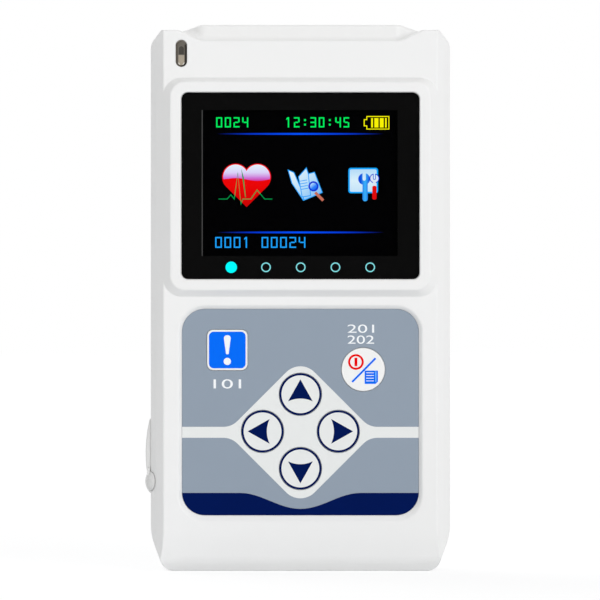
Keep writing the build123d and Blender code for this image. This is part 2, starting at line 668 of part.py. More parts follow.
def back_ribs():
    """Ribs on the inside of the back wall: level ones beside the cell bay, upright ones above it."""
    depth = (INNER_BACK_Y - BACK_RIB_HEIGHT, INNER_BACK_Y + CASE_WALL / 2)
    half = BACK_RIB_WIDTH / 2
    bay_x = DOOR_WIDTH / 2 + DOOR_GAP + DOOR_FRAME
    middle_z = (BAY_BOTTOM_Z + BAY_TOP_Z) / 2
    ribs = []
    for step in (-1, 0, 1):
        z = middle_z + step * BACK_RIB_SPACING
        x = step * BACK_RIB_SPACING
        ribs.append(block((-SIDE_X, -bay_x + half), depth, (z - half, z + half)))
        ribs.append(block((bay_x - half, SIDE_X), depth, (z - half, z + half)))
        ribs.append(block((x - half, x + half), depth, (DOOR_TOP_Z + DOOR_GAP, SOCKET_BOTTOM_Z)))
    return ribs


def screw(x, z, seat_y, length, diameter, head_diameter, head_height):
    """A plain-shanked screw whose head rests at seat_y and whose tip points forward."""
    shank = rod(x, z, diameter, seat_y - length, seat_y)
    head = rod(x, z, head_diameter, seat_y, seat_y + head_height)
    drive = Pos(x, z) * Rotation(0, 0, 45) * (
        Rectangle(head_diameter * DRIVE_LENGTH_SHARE, diameter * DRIVE_WIDTH_SHARE)
        + Rectangle(diameter * DRIVE_WIDTH_SHARE, head_diameter * DRIVE_LENGTH_SHARE)
    )
    return shank + head - slab(drive, seat_y + head_height / 2, seat_y + head_height)


def case_screws():
    """The four screws that hold the shells together."""
    seat_y = BACK_Y - SCREW_SINK
    return Compound(children=[
        screw(x, z, seat_y, SCREW_LENGTH, SCREW_DIAMETER, SCREW_HEAD_DIAMETER, SCREW_HEAD_HEIGHT)
        for x, z in four_corners(SCREW_X, SCREW_LOW_Z, SCREW_HIGH_Z)
    ])


def board_posts():
    """Where the main board is screwed down, as (x, z)."""
    return [
        (side * x, z)
        for side in (-1, 1)
        for x, z in ((POST_LOW_X, POST_LOW_Z), (POST_HIGH_X, POST_HIGH_Z))
    ]


def board_screws():
    """Small screws: four in the main board, and two that hold the signal board from the front."""
    sizes = (SMALL_SCREW_LENGTH, SMALL_SCREW_DIAMETER, SMALL_HEAD_DIAMETER, SMALL_HEAD_HEIGHT)
    screws = [screw(x, z, BOARD_REAR_Y, *sizes) for x, z in board_posts()]
    for side in (-1, 1):
        turned = screw(side * SIGNAL_POST_X, SIGNAL_POST_Z, -SIGNAL_FRONT_Y, *sizes)
        screws.append(mirror(turned, about=Plane.XZ))
    return Compound(children=screws)


# Shells

def tongue(growth, height):
    """The lip inside the parting line, or with growth the rebate that takes it."""
    ring = front_outline(CASE_WALL - TONGUE_THICKNESS - growth) - front_outline(CASE_WALL)
    keep = block((-FAR, FAR), (-FAR, FAR), (-FAR, CAVITY_TOP_Z))
    return slab(ring, PARTING_Y, PARTING_Y + height) & keep


def socket_hole():
    """The hole in the crest for the lead socket's collar."""
    outline = RectangleRounded(
        SOCKET_WIDTH + 2 * SOCKET_GAP, SOCKET_DEPTH + 2 * SOCKET_GAP, SOCKET_CORNER + SOCKET_GAP
    )
    return extrude(Pos(0, SOCKET_Y, CAVITY_TOP_Z - CASE_WALL) * outline, amount=FAR)


def indicator_outline(growth):
    """The slot's outline, a short vertical track."""
    return Pos(INDICATOR_X, INDICATOR_Z) * Rotation(0, 0, 90) * SlotOverall(
        INDICATOR_LENGTH + 2 * growth, INDICATOR_WIDTH + 2 * growth
    )


def port_cuts():
    """What the data port takes out of the left wall: the flap's recess, its hinge and the opening."""
    floor_x = -(SIDE_X - FLAP_RECESS)
    flap_y = (FLAP_FRONT_Y - FLAP_GAP, FLAP_REAR_Y + FLAP_GAP)
    recess = block((-FAR, floor_x), flap_y, (FLAP_BOTTOM_Z - FLAP_GAP, FLAP_TOP_Z + BROW_ROOM))
    barrel_z = (BARREL_Z - BARREL_RADIUS - BARREL_ROOM, FLAP_TOP_Z + BROW_ROOM)
    barrel_room = block((-FAR, BARREL_X + BARREL_RADIUS + FLAP_GAP), flap_y, barrel_z)
    half_width = USB_WIDTH / 2 + PORT_OPENING_MARGIN
    half_height = USB_HEIGHT / 2 + PORT_OPENING_MARGIN
    opening = block(
        (-FAR, -(SIDE_X - 2 * CASE_WALL)),
        (USB_Y - half_height, USB_Y + half_height),
        (PORT_Z - half_width, PORT_Z + half_width),
    )
    length = FLAP_WIDTH + 2 * (FLAP_GAP + PIVOT_LENGTH + FLAP_GAP)
    middle = (FLAP_FRONT_Y + FLAP_REAR_Y) / 2
    bores = rod_along_depth(length, middle, PIVOT_DIAMETER / 2 + PIVOT_FIT)
    return recess + barrel_room + opening + bores


def rod_along_depth(length, middle_y, radius):
    """A rod on the flap's hinge axis."""
    return Pos(BARREL_X, middle_y, BARREL_Z) * Rotation(90, 0, 0) * Cylinder(radius, length)


def front_shell():
    """The front half of the casing."""
    front_half = block((-FAR, FAR), (-FAR, PARTING_Y), (-FAR, FAR))
    shell = (casing() & front_half) - cavity(CASE_WALL)
    room = cavity(CASE_WALL / 2)
    fixings = [boss(x, z) for x, z in four_corners(SCREW_X, SCREW_LOW_Z, SCREW_HIGH_Z)]
    fixings += [rod(x, z, POST_DIAMETER, INNER_FRONT_Y, BOARD_FRONT_Y) for x, z in board_posts()]
    for fixing in fixings:
        shell += fixing & room
    shell += tongue(0, TONGUE_HEIGHT)

    window = Pos(0, PAD_CENTRE_Z) * RectangleRounded(
        WINDOW_WIDTH + 2 * WINDOW_GAP, WINDOW_LENGTH + 2 * WINDOW_GAP, WINDOW_CORNER + WINDOW_GAP
    )
    view = Pos(0, ACTIVE_CENTRE_Z) * RectangleRounded(
        ACTIVE_WIDTH + 2 * ACTIVE_MARGIN, ACTIVE_LENGTH + 2 * ACTIVE_MARGIN, ACTIVE_MARGIN
    )
    lcd_room = Pos(0, ACTIVE_CENTRE_Z) * Rectangle(LCD_WIDTH + 2 * LCD_GAP, LCD_LENGTH + 2 * LCD_GAP)
    shell -= slab(window, -FAR, WINDOW_REAR_Y)
    shell -= slab(view, -FAR, BOARD_FRONT_Y)
    shell -= slab(lcd_room, LEDGE_REAR_Y, LCD_REAR_Y)
    for hole in key_outlines(KEY_GAP).values():
        shell -= slab(hole, FRONT_Y, BOARD_FRONT_Y)

    lens_y = FRONT_Y + INDICATOR_RECESS + LENS_THICKNESS
    shell -= slab(indicator_outline(0), -FAR, lens_y)
    light_hole = Rectangle(INDICATOR_WIDTH - 2 * LENS_LEDGE, LED_LENGTH + 2 * LENS_LEDGE)
    shell -= slab(Pos(INDICATOR_X, LED_Z) * light_hole, lens_y, BOARD_FRONT_Y)

    for x, z in four_corners(SCREW_X, SCREW_LOW_Z, SCREW_HIGH_Z):
        tip_y = BACK_Y - SCREW_SINK - SCREW_LENGTH
        shell -= rod(x, z, SCREW_DIAMETER + 2 * SCREW_FIT, tip_y - SCREW_FREE_FIT, PARTING_Y)
    for x, z in board_posts():
        tip_y = BOARD_REAR_Y - SMALL_SCREW_LENGTH
        shell -= rod(x, z, SMALL_SCREW_DIAMETER + 2 * SCREW_FIT, tip_y - SCREW_FIT, BOARD_FRONT_Y)
    return shell - port_cuts() - socket_hole()


def rear_shell():
    """The rear half of the casing, with the cell bay and the door's frame."""
    rear_half = block((-FAR, FAR), (PARTING_Y, FAR), (-FAR, FAR))
    shell = (casing() & rear_half) - cavity(CASE_WALL)
    room = cavity(CASE_WALL / 2) & rear_half
    fixings = [column(x, z) for x, z in four_corners(SCREW_X, SCREW_LOW_Z, SCREW_HIGH_Z)]
    fixings += [
        rod(side * SIGNAL_POST_X, SIGNAL_POST_Z, POST_DIAMETER, SIGNAL_REAR_Y, INNER_BACK_Y + CASE_WALL / 2)
        for side in (-1, 1)
    ]
    for fixing in fixings + back_ribs():
        shell += fixing & room

    frame_x = DOOR_WIDTH / 2 + DOOR_GAP + DOOR_FRAME
    door_frame = block(
        (-frame_x, frame_x),
        (DOOR_INNER_Y - DOOR_SEAT_GAP - DOOR_FRAME, INNER_BACK_Y + CASE_WALL / 2),
        (DOOR_BOTTOM_Z - DOOR_GAP - DOOR_FRAME, DOOR_TOP_Z + DOOR_GAP + DOOR_FRAME),
    )
    bay_outside = block(
        (-BAY_HALF_WIDTH - BAY_WALL, BAY_HALF_WIDTH + BAY_WALL),
        (BAY_FRONT_Y, INNER_BACK_Y + CASE_WALL / 2),
        (BAY_BOTTOM_Z - BAY_WALL, BAY_TOP_Z + BAY_WALL),
    )
    bay = block((-BAY_HALF_WIDTH, BAY_HALF_WIDTH), (BAY_FLOOR_Y, FAR), (BAY_BOTTOM_Z, BAY_TOP_Z))
    divider = block(
        (-BAY_WALL / 2, BAY_WALL / 2),
        (BAY_FLOOR_Y, BAY_FLOOR_Y + CELL_DIAMETER / 4),
        (BAY_BOTTOM_Z + CELL_DIAMETER, BAY_TOP_Z - CELL_DIAMETER),
    )
    shell += door_frame + bay_outside
    shell -= bay
    shell += divider
    shell -= slab(door_outline(DOOR_GAP), DOOR_INNER_Y - DOOR_SEAT_GAP, FAR)
    shell -= door_tab_room()
    shell -= door_catch(DOOR_CATCH_GAP)
    slot = PLATE_TAB_WIDTH / 2 + PLATE_TAB_GAP
    for x in (-CELL_X, CELL_X):
        shell -= block(
            (x - slot, x + slot),
            (BAY_FRONT_Y, BAY_FLOOR_Y),
            (BAY_BOTTOM_Z, BAY_BOTTOM_Z + PLATE_THICKNESS + PLATE_TAB_GAP),
        )

    seat_y = BACK_Y - SCREW_SINK
    for x, z in four_corners(SCREW_X, SCREW_LOW_Z, SCREW_HIGH_Z):
        shell -= rod(x, z, SCREW_DIAMETER + 2 * SCREW_FREE_FIT, PARTING_Y, seat_y)
        shell -= rod(x, z, SCREW_HEAD_DIAMETER + 2 * SCREW_FREE_FIT, seat_y, FAR)
    for side in (-1, 1):
        tip_y = SIGNAL_FRONT_Y + SMALL_SCREW_LENGTH + SCREW_FIT
        shell -= rod(
            side * SIGNAL_POST_X, SIGNAL_POST_Z, SMALL_SCREW_DIAMETER + 2 * SCREW_FIT, SIGNAL_REAR_Y, tip_y
        )
    rebate = tongue(TONGUE_GAP, TONGUE_HEIGHT + TONGUE_GAP)
    return shell - rebate - socket_hole()


# Cell door

def door_outline(growth):
    """The door's outline, or with growth its recess."""
    height = DOOR_TOP_Z - DOOR_BOTTOM_Z + 2 * growth
    centre = (DOOR_TOP_Z + DOOR_BOTTOM_Z) / 2
    return Pos(0, centre) * RectangleRounded(DOOR_WIDTH + 2 * growth, height, DOOR_CORNER + growth)


def door_tab(x, growth):
    """The depth and side limits of one hinge tab, grown by its room."""
    rear_y = INNER_BACK_Y - DOOR_TAB_GAP
    return (
        (x - DOOR_TAB_WIDTH / 2 - growth, x + DOOR_TAB_WIDTH / 2 + growth),
        (rear_y - DOOR_TAB_DEPTH, rear_y),
    )


def door_tab_room():
    """The slots in the shell's sill where the hinge tabs hook in and swing."""
    rooms = []
    for side in (-1, 1):
        x, (front_y, _) = door_tab(side * DOOR_TAB_X, DOOR_TAB_SIDE_GAP)
        deep_y = front_y - DOOR_TAB_SWEEP
        low_z = DOOR_BOTTOM_Z - DOOR_TAB_LENGTH - DOOR_TAB_SWEEP / 2
        rooms.append(block(x, (deep_y, INNER_BACK_Y), (low_z, DOOR_BOTTOM_Z)))
        rooms.append(block(x, (deep_y, DOOR_INNER_Y), (DOOR_BOTTOM_Z - DOOR_GAP, BAY_BOTTOM_Z + DOOR_GAP)))
    return rooms[0] + rooms[1] + rooms[2] + rooms[3]


def door_catch(growth):
    """The catch on the latch tongue's inner side, or with growth the slot that takes it."""
    middle_z = (BAY_TOP_Z + DOOR_TOP_Z) / 2
    half_width = DOOR_CATCH_WIDTH / 2 + growth
    half_height = DOOR_CATCH_THICKNESS / 2 + growth
    depth = (DOOR_INNER_Y - DOOR_CATCH_DEPTH - growth, DOOR_INNER_Y)
    return block((-half_width, half_width), depth, (middle_z - half_height, middle_z + half_height))


def battery_door():
    """The door: two tabs at its lower edge, a latch tongue and grip grooves at its upper end."""
    door = slab(door_outline(0), DOOR_INNER_Y, BACK_Y)
    for side in (-1, 1):
        x, (front_y, rear_y) = door_tab(side * DOOR_TAB_X, 0)
        door += block(x, (front_y, DOOR_INNER_Y), (DOOR_BOTTOM_Z, DOOR_BOTTOM_Z + DOOR_TAB_DEPTH))
        door += block(x, (front_y, rear_y), (DOOR_BOTTOM_Z - DOOR_TAB_LENGTH, DOOR_BOTTOM_Z))
    rib_z = (BAY_BOTTOM_Z + CELL_DIAMETER / 2, BAY_TOP_Z - CELL_DIAMETER / 2)
    rib_x = (-DOOR_RIB_WIDTH / 2, DOOR_RIB_WIDTH / 2)
    door += block(rib_x, (DOOR_INNER_Y - DOOR_RIB_DEPTH, DOOR_INNER_Y), rib_z)
    for side in (-1, 1):
        slit_x = side * (DOOR_LATCH_WIDTH + DOOR_SLIT) / 2
        slit = Pos(slit_x, DOOR_TOP_Z - DOOR_LATCH_LENGTH / 2) * Rectangle(DOOR_SLIT, DOOR_LATCH_LENGTH)
        door -= slab(slit, DOOR_INNER_Y, BACK_Y)
    door += door_catch(0)
    grip_top = DOOR_TOP_Z - DOOR_LATCH_LENGTH - GRIP_GROOVE_PITCH
    for row in range(GRIP_GROOVES):
        place = Pos(0, grip_top - row * GRIP_GROOVE_PITCH)
        groove = place * SlotOverall(GRIP_GROOVE_LENGTH, GRIP_GROOVE_WIDTH)
        door -= slab(groove, BACK_Y - GRIP_GROOVE_DEPTH, BACK_Y)
    return door


# Display

def display_window():
    """The clear window, seated on the ledge in the bezel pad."""
    pane = slab(
        Pos(0, PAD_CENTRE_Z) * RectangleRounded(WINDOW_WIDTH, WINDOW_LENGTH, WINDOW_CORNER),
        WINDOW_FRONT_Y, WINDOW_REAR_Y,
    )
    return fillet(pane.faces().sort_by(Axis.Y)[0].edges(), EDGE_ROUND / 4)


def lcd_gasket():
    """The foam frame between the ledge and the display."""
    outer = Rectangle(LCD_WIDTH - 2 * GASKET_INSET, LCD_LENGTH - 2 * GASKET_INSET)
    inner = Rectangle(ACTIVE_WIDTH + 2 * ACTIVE_MARGIN, ACTIVE_LENGTH + 2 * ACTIVE_MARGIN)
    return slab(Pos(0, ACTIVE_CENTRE_Z) * (outer - inner), LEDGE_REAR_Y, LCD_FRONT_Y)


def lcd_glass_outline():
    """The display glass in its tray."""
    return Pos(0, ACTIVE_CENTRE_Z) * Rectangle(LCD_WIDTH - 2 * LCD_RIM, LCD_LENGTH - 2 * LCD_RIM)


def lcd_panel():
    """The display glass."""
    return slab(lcd_glass_outline(), LCD_FRONT_Y, LCD_FRONT_Y + LCD_GLASS_THICKNESS)


def lcd_frame():
    """The backlight tray that holds the glass, on four feet that stand on the board."""
    tray = slab(Pos(0, ACTIVE_CENTRE_Z) * Rectangle(LCD_WIDTH, LCD_LENGTH), LCD_FRONT_Y, LCD_REAR_Y)
    tray -= slab(lcd_glass_outline(), LCD_FRONT_Y, LCD_FRONT_Y + LCD_GLASS_THICKNESS)
    reach_x = (LCD_WIDTH - LCD_FOOT) / 2
    reach_z = (LCD_LENGTH - LCD_FOOT) / 2
    for x, z in four_corners(reach_x, ACTIVE_CENTRE_Z - reach_z, ACTIVE_CENTRE_Z + reach_z):
        tray += slab(Pos(x, z) * Rectangle(LCD_FOOT, LCD_FOOT), LCD_REAR_Y, BOARD_FRONT_Y)
    return tray


def lcd_connector():
    """The connector that takes the display's ribbon."""
    return block(
        (-CONNECTOR_WIDTH / 2, CONNECTOR_WIDTH / 2),
        (BOARD_FRONT_Y - CONNECTOR_HEIGHT, BOARD_FRONT_Y),
        (CONNECTOR_TOP_Z - CONNECTOR_LENGTH, CONNECTOR_TOP_Z),
    )


def lcd_flex():
    """The ribbon, stepping back from the tray's lower edge to the connector."""
    tray_z = ACTIVE_CENTRE_Z - LCD_LENGTH / 2
    start_y = LCD_REAR_Y - FLEX_THICKNESS
    end_y = BOARD_FRONT_Y - (CONNECTOR_HEIGHT + FLEX_THICKNESS) / 2
    step = CONNECTOR_DROP / 4
    front = [
        (start_y, tray_z),
        (start_y, tray_z - step),
        (end_y, CONNECTOR_TOP_Z + step),
        (end_y, CONNECTOR_TOP_Z),
    ]
    back = [(y + FLEX_THICKNESS, z) for y, z in reversed(front)]
    profile = make_face(Polyline(front + back, close=True))
    return extrude(Plane.YZ.offset(-FLEX_WIDTH / 2) * profile, amount=FLEX_WIDTH)


# Boards and what is on them

def main_board():
    """The main board: it follows the casing, with notches for the bosses."""
    outline = front_outline(CASE_WALL + BOARD_EDGE_GAP)
    outline &= Pos(0, (CAVITY_TOP_Z - BOARD_TOP_GAP) / 2) * Rectangle(FAR, CAVITY_TOP_Z - BOARD_TOP_GAP)
    notch = BOSS_DIAMETER / 2 + BOARD_EDGE_GAP
    for x, z in four_corners(SCREW_X, SCREW_LOW_Z, SCREW_HIGH_Z):
        outside = 1 if x > 0 else -1
        outline -= Pos(x, z) * Circle(notch)
        outline -= Pos(x + outside * notch, z) * Rectangle(2 * notch, 2 * notch)
    for x, z in board_posts():
        outline -= Pos(x, z) * Circle(SMALL_SCREW_DIAMETER / 2 + SCREW_FREE_FIT)
    return slab(outline, BOARD_FRONT_Y, BOARD_REAR_Y)


def board_chips():
    """The processor, its memory and the small parts on the main board's back."""
    memory_x = PROCESSOR_SIZE / 2 + CHIP_SPACING + MEMORY_WIDTH / 2
    beside_bay_x = BAY_HALF_WIDTH + BAY_WALL + CHIP_SPACING
    top_row_z = PROCESSOR_Z + PROCESSOR_SIZE / 2 + CHIP_SPACING + CRYSTAL_WIDTH / 2
    chips = [
        (0, PROCESSOR_Z, PROCESSOR_SIZE, PROCESSOR_SIZE, CHIP_HEIGHT),
        (memory_x, PROCESSOR_Z + CHIP_SPACING, MEMORY_WIDTH, MEMORY_LENGTH, CHIP_HEIGHT),
        (-CHIP_SPACING, top_row_z, CODEC_SIZE, CODEC_SIZE, CHIP_HEIGHT),
        (CHIP_SPACING, top_row_z, CRYSTAL_WIDTH, CRYSTAL_LENGTH, CHIP_HEIGHT),
        (-SIGNAL_POST_X, SIGNAL_POST_Z, CODEC_SIZE, CODEC_SIZE, CHIP_HEIGHT),
        (-beside_bay_x, OVERLAY_CENTRE_Z + COIL_SIZE, CODEC_SIZE, CODEC_SIZE, CHIP_HEIGHT),
        (beside_bay_x, OVERLAY_CENTRE_Z + COIL_SIZE, CODEC_SIZE, CODEC_SIZE, CHIP_HEIGHT),
        (beside_bay_x, OVERLAY_CENTRE_Z - COIL_SIZE, COIL_SIZE, COIL_SIZE, COIL_HEIGHT),
    ]
    return Compound(children=[
        slab(Pos(x, z) * Rectangle(width, length), BOARD_REAR_Y, BOARD_REAR_Y + height)
        for x, z, width, length, height in chips
    ])


def signal_board():
    """The board behind the lead socket, where the heart's signals are amplified."""
    board = block(
        (-SIGNAL_BOARD_WIDTH / 2, SIGNAL_BOARD_WIDTH / 2),
        (SIGNAL_FRONT_Y, SIGNAL_REAR_Y),
        (SIGNAL_BOTTOM_Z, SOCKET_BOTTOM_Z),
    )
    for side in (-1, 1):
        board -= rod(
            side * SIGNAL_POST_X, SIGNAL_POST_Z, SMALL_SCREW_DIAMETER + 2 * SCREW_FREE_FIT,
            SIGNAL_FRONT_Y, SIGNAL_REAR_Y,
        )
    return board


def shield_can():
    """The pressed cover over the amplifier, open towards its board."""
    place = Pos(0, SIGNAL_BOTTOM_Z + SHIELD_RISE)
    top_y = SIGNAL_FRONT_Y - SHIELD_HEIGHT
    outside = place * RectangleRounded(SHIELD_WIDTH, SHIELD_LENGTH, 2 * SHIELD_WALL)
    inside = place * Rectangle(SHIELD_WIDTH - 2 * SHIELD_WALL, SHIELD_LENGTH - 2 * SHIELD_WALL)
    return slab(outside, top_y, SIGNAL_FRONT_Y) - slab(inside, top_y + SHIELD_WALL, SIGNAL_FRONT_Y)


def board_link():
    """The pin header that joins the two boards."""
    z = SIGNAL_POST_Z
    return block((-LINK_WIDTH / 2, LINK_WIDTH / 2), (BOARD_REAR_Y, SIGNAL_FRONT_Y), (z, z + LINK_LENGTH))


def buzzer():
    """The sounder on the main board's back."""
    top_y = BOARD_REAR_Y + BUZZER_HEIGHT
    can = rod(BUZZER_X, BUZZER_Z, BUZZER_DIAMETER, BOARD_REAR_Y, top_y)
    return can - rod(BUZZER_X, BUZZER_Z, BUZZER_HOLE, top_y - BUZZER_HEIGHT / 2, top_y)


def clock_cell():
    """The coin cell that keeps the clock running."""
    seat_y = BOARD_REAR_Y + CLIP_THICKNESS
    return rod(CLOCK_CELL_X, CLOCK_CELL_Z, CLOCK_CELL_DIAMETER, seat_y, seat_y + CLOCK_CELL_THICKNESS)


def cell_clip():
    """The spring clip round the coin cell."""
    reach = CLOCK_CELL_DIAMETER / 2 + CLIP_THICKNESS
    band = block(
        (CLOCK_CELL_X - CLIP_WIDTH / 2, CLOCK_CELL_X + CLIP_WIDTH / 2),
        (BOARD_REAR_Y, BOARD_REAR_Y + CLOCK_CELL_THICKNESS + 2 * CLIP_THICKNESS),
        (CLOCK_CELL_Z - reach, CLOCK_CELL_Z + reach),
    )
    return band - clock_cell()


# Lead socket

def lead_socket():
    """The socket's housing: a collar through the crest, a flange below it and a keyed mouth."""
    collar = RectangleRounded(SOCKET_WIDTH, SOCKET_DEPTH, SOCKET_CORNER)
    housing = extrude(Pos(0, SOCKET_Y, SOCKET_BOTTOM_Z) * collar, amount=SOCKET_TOP_Z - SOCKET_BOTTOM_Z)
    grow = 2 * SOCKET_FLANGE_RIM
    rim = RectangleRounded(SOCKET_WIDTH + grow, SOCKET_DEPTH + grow, SOCKET_CORNER)
    flange_z = CAVITY_TOP_Z - SOCKET_GAP - SOCKET_FLANGE_HEIGHT
    housing += extrude(Pos(0, SOCKET_Y, flange_z) * rim, amount=SOCKET_FLANGE_HEIGHT)
    front_x = SOCKET_WIDTH / 2 - SOCKET_SIDE_WALL
    back_x = front_x - SOCKET_MOUTH_TAPER
    reach = SOCKET_DEPTH / 2 - SOCKET_END_WALL
    mouth = rounded([
        (-front_x, -reach, EDGE_ROUND), (front_x, -reach, EDGE_ROUND),
        (back_x, reach, EDGE_ROUND), (-back_x, reach, EDGE_ROUND),
    ])
    floor_z = SOCKET_TOP_Z - SOCKET_MOUTH_LENGTH
    housing -= extrude(Pos(0, SOCKET_Y, floor_z) * mouth, amount=SOCKET_MOUTH_LENGTH)
    for x, y in contact_places():
        housing -= Pos(x, y, SOCKET_BOTTOM_Z) * Cylinder(
            CONTACT_DIAMETER / 2, SOCKET_BASE_HEIGHT, align=(Align.CENTER, Align.CENTER, Align.MIN)
        )
    return housing


def contact_places():
    """The contacts in their two rows, as (x, y)."""
    rows = ((CONTACT_FRONT_COUNT, -1), (CONTACT_BACK_COUNT, 1))
    return [
        ((index - (count - 1) / 2) * CONTACT_PITCH, SOCKET_Y + side * CONTACT_ROW_SPACING / 2)
        for count, side in rows
        for index in range(count)
    ]


def lead_contacts():
    """The contact pins: round-tipped in the mouth, with tails either side of the signal board."""
    low_z = SOCKET_BOTTOM_Z - CONTACT_TAIL
    length = CONTACT_TAIL + SOCKET_BASE_HEIGHT + CONTACT_LENGTH
    pin = Cylinder(CONTACT_DIAMETER / 2, length, align=(Align.CENTER, Align.CENTER, Align.MIN))
    pin = chamfer(pin.edges().sort_by(Axis.Z)[-1:], CONTACT_DIAMETER / 4)
    return Compound(children=[Pos(x, y, low_z) * pin for x, y in contact_places()])


# Data port

def usb_shell():
    """The data socket's folded metal shell, on the main board's back."""
    face = RectangleRounded(USB_HEIGHT, USB_WIDTH, USB_CORNER)
    hollow = RectangleRounded(USB_HEIGHT - 2 * USB_WALL, USB_WIDTH - 2 * USB_WALL, USB_CORNER - USB_WALL)
    plane = Plane.YZ.offset(USB_MOUTH_X)
    outside = extrude(plane * Pos(USB_Y, PORT_Z) * face, amount=USB_LENGTH)
    return outside - extrude(plane * Pos(USB_Y, PORT_Z) * hollow, amount=USB_LENGTH - USB_WALL)


def usb_tongue():
    """The insulating tongue inside the data socket."""
    back_x = USB_MOUTH_X + USB_LENGTH - USB_WALL
    half_width = TONGUE_WIDTH / 2
    return block(
        (back_x - USB_TONGUE_LENGTH, back_x),
        (USB_Y - USB_TONGUE_THICKNESS / 2, USB_Y + USB_TONGUE_THICKNESS / 2),
        (PORT_Z - half_width, PORT_Z + half_width),
    )


def port_cover():
    """The flap over the data port: a hinge barrel at the top, a swelling plate and a round grip."""
    wall_x = -SIDE_X
    inner_x = wall_x + FLAP_RECESS - FLAP_GAP
    top = (BARREL_X, BARREL_Z + BARREL_RADIUS)
    brow = (BARREL_X - BROW_REACH * math.cos(BROW_ANGLE), BARREL_Z + BROW_REACH * math.sin(BROW_ANGLE))
    shoulder = (BARREL_X - BROW_REACH, BARREL_Z)
    swell = (wall_x - FLAP_BULGE, PORT_Z)
    end = (wall_x - FLAP_END_BULGE, FLAP_BOTTOM_Z)
    edges = Curve() + [
        Polyline(end, (inner_x, FLAP_BOTTOM_Z), (inner_x, BARREL_Z), top, brow, shoulder),
        ThreePointArc(shoulder, swell, end),
    ]
    plate = slab(make_face(edges), FLAP_FRONT_Y, FLAP_REAR_Y)
    plate = fillet(plate.edges().filter_by(GeomType.CIRCLE), FLAP_ROUND)
    middle = (FLAP_FRONT_Y + FLAP_REAR_Y) / 2
    plate += rod_along_depth(FLAP_WIDTH, middle, BARREL_RADIUS)
    plate += rod_along_depth(FLAP_WIDTH + 2 * (FLAP_GAP + PIVOT_LENGTH), middle, PIVOT_DIAMETER / 2)

    grip_y = middle - GRIP_FRONT_SHIFT
    grip_z = FLAP_BOTTOM_Z + GRIP_OVERLAP - GRIP_RADIUS
    dome_radius = (GRIP_RADIUS**2 + GRIP_BULGE**2) / (2 * GRIP_BULGE)
    grip = Pos(wall_x - GRIP_BULGE + dome_radius, grip_y, grip_z) * Sphere(dome_radius)
    neck_x = (wall_x - 2 * FLAP_GAP, wall_x - 2 * FLAP_GAP - GRIP_NECK_THICKNESS)
    neck_y = (grip_y - GRIP_NECK_WIDTH / 2, grip_y + GRIP_NECK_WIDTH / 2)
    neck = block(neck_x, neck_y, (grip_z, FLAP_BOTTOM_Z + 1.5 * GRIP_OVERLAP))
    return plate + neck + (grip - extrude(cross_section(-FLAP_GAP), amount=FAR))


# Indicator

def indicator_lens():
    """The smoked lens in its slot."""
    front_y = FRONT_Y + INDICATOR_RECESS
    return slab(indicator_outline(-LENS_GAP), front_y, front_y + LENS_THICKNESS)


def indicator_led():
    """The lamp on the main board behind the lens."""
    base_y = BOARD_FRONT_Y - LED_BASE_HEIGHT
    base = slab(Pos(INDICATOR_X, LED_Z) * Rectangle(LED_WIDTH, LED_LENGTH), base_y, BOARD_FRONT_Y)
    return base + Pos(INDICATOR_X, base_y, LED_Z) * Sphere(LED_DOME_RADIUS)


# Cells and their contacts

def cell(x, nub_up):
    """One AA cell, with its nub at the upper or the lower end."""
    body = CELL_LENGTH - CELL_NUB_HEIGHT
    can = Cylinder(CELL_DIAMETER / 2, body, align=(Align.CENTER, Align.CENTER, Align.MIN))
    can = chamfer(can.edges().filter_by(GeomType.CIRCLE), CELL_EDGE_CHAMFER)
    nub = Pos(0, 0, body) * Cylinder(
        CELL_NUB_DIAMETER / 2, CELL_NUB_HEIGHT, align=(Align.CENTER, Align.CENTER, Align.MIN)
    )
    whole = can + nub
    if nub_up:
        return Pos(x, CELL_Y, BAY_TOP_Z - PLATE_THICKNESS - CELL_LENGTH) * whole
    return Pos(x, CELL_Y, BAY_BOTTOM_Z + PLATE_THICKNESS + CELL_LENGTH) * Rotation(180, 0, 0) * whole


def battery_contacts():
    """The end plates: two at the bottom with tabs to the board, one across the top."""
    depth = (CELL_Y - PLATE_WIDTH / 2, CELL_Y + PLATE_WIDTH / 2)
    low = (BAY_BOTTOM_Z, BAY_BOTTOM_Z + PLATE_THICKNESS)
    plates = []
    for side in (-1, 1):
        x = side * CELL_X
        plate = block((x - PLATE_WIDTH / 2, x + PLATE_WIDTH / 2), depth, low)
        tab = block((x - PLATE_TAB_WIDTH / 2, x + PLATE_TAB_WIDTH / 2), (BOARD_REAR_Y, depth[0]), low)
        plates.append(plate + tab)
    reach = CELL_X + PLATE_WIDTH / 2
    plates.append(block((-reach, reach), depth, (BAY_TOP_Z - PLATE_THICKNESS, BAY_TOP_Z)))
    return Compound(children=plates)


def coil(x, z, direction):
    """One conical spring, wide at its plate; its wire is six-sided, which keeps the model light."""
    height = SPRING_LENGTH - SPRING_WIRE
    radius = (SPRING_DIAMETER - SPRING_WIRE) / 2
    path = Helix(height / SPRING_TURNS, height, radius, cone_angle=-SPRING_CONE_ANGLE)
    section = Plane(path @ 0, z_dir=path % 0) * RegularPolygon(SPRING_WIRE / 2, 6)
    wire = sweep(section, path=path, is_frenet=True)
    turned = wire if direction > 0 else Rotation(180, 0, 0) * wire
    return Pos(x, CELL_Y, z + direction * SPRING_WIRE / 2) * turned


def battery_springs():
    """The two springs, at each cell's flat end."""
    low = coil(-CELL_X, BAY_BOTTOM_Z + PLATE_THICKNESS, 1)
    high = coil(CELL_X, BAY_TOP_Z - PLATE_THICKNESS, -1)
    return Compound(children=[low, high])


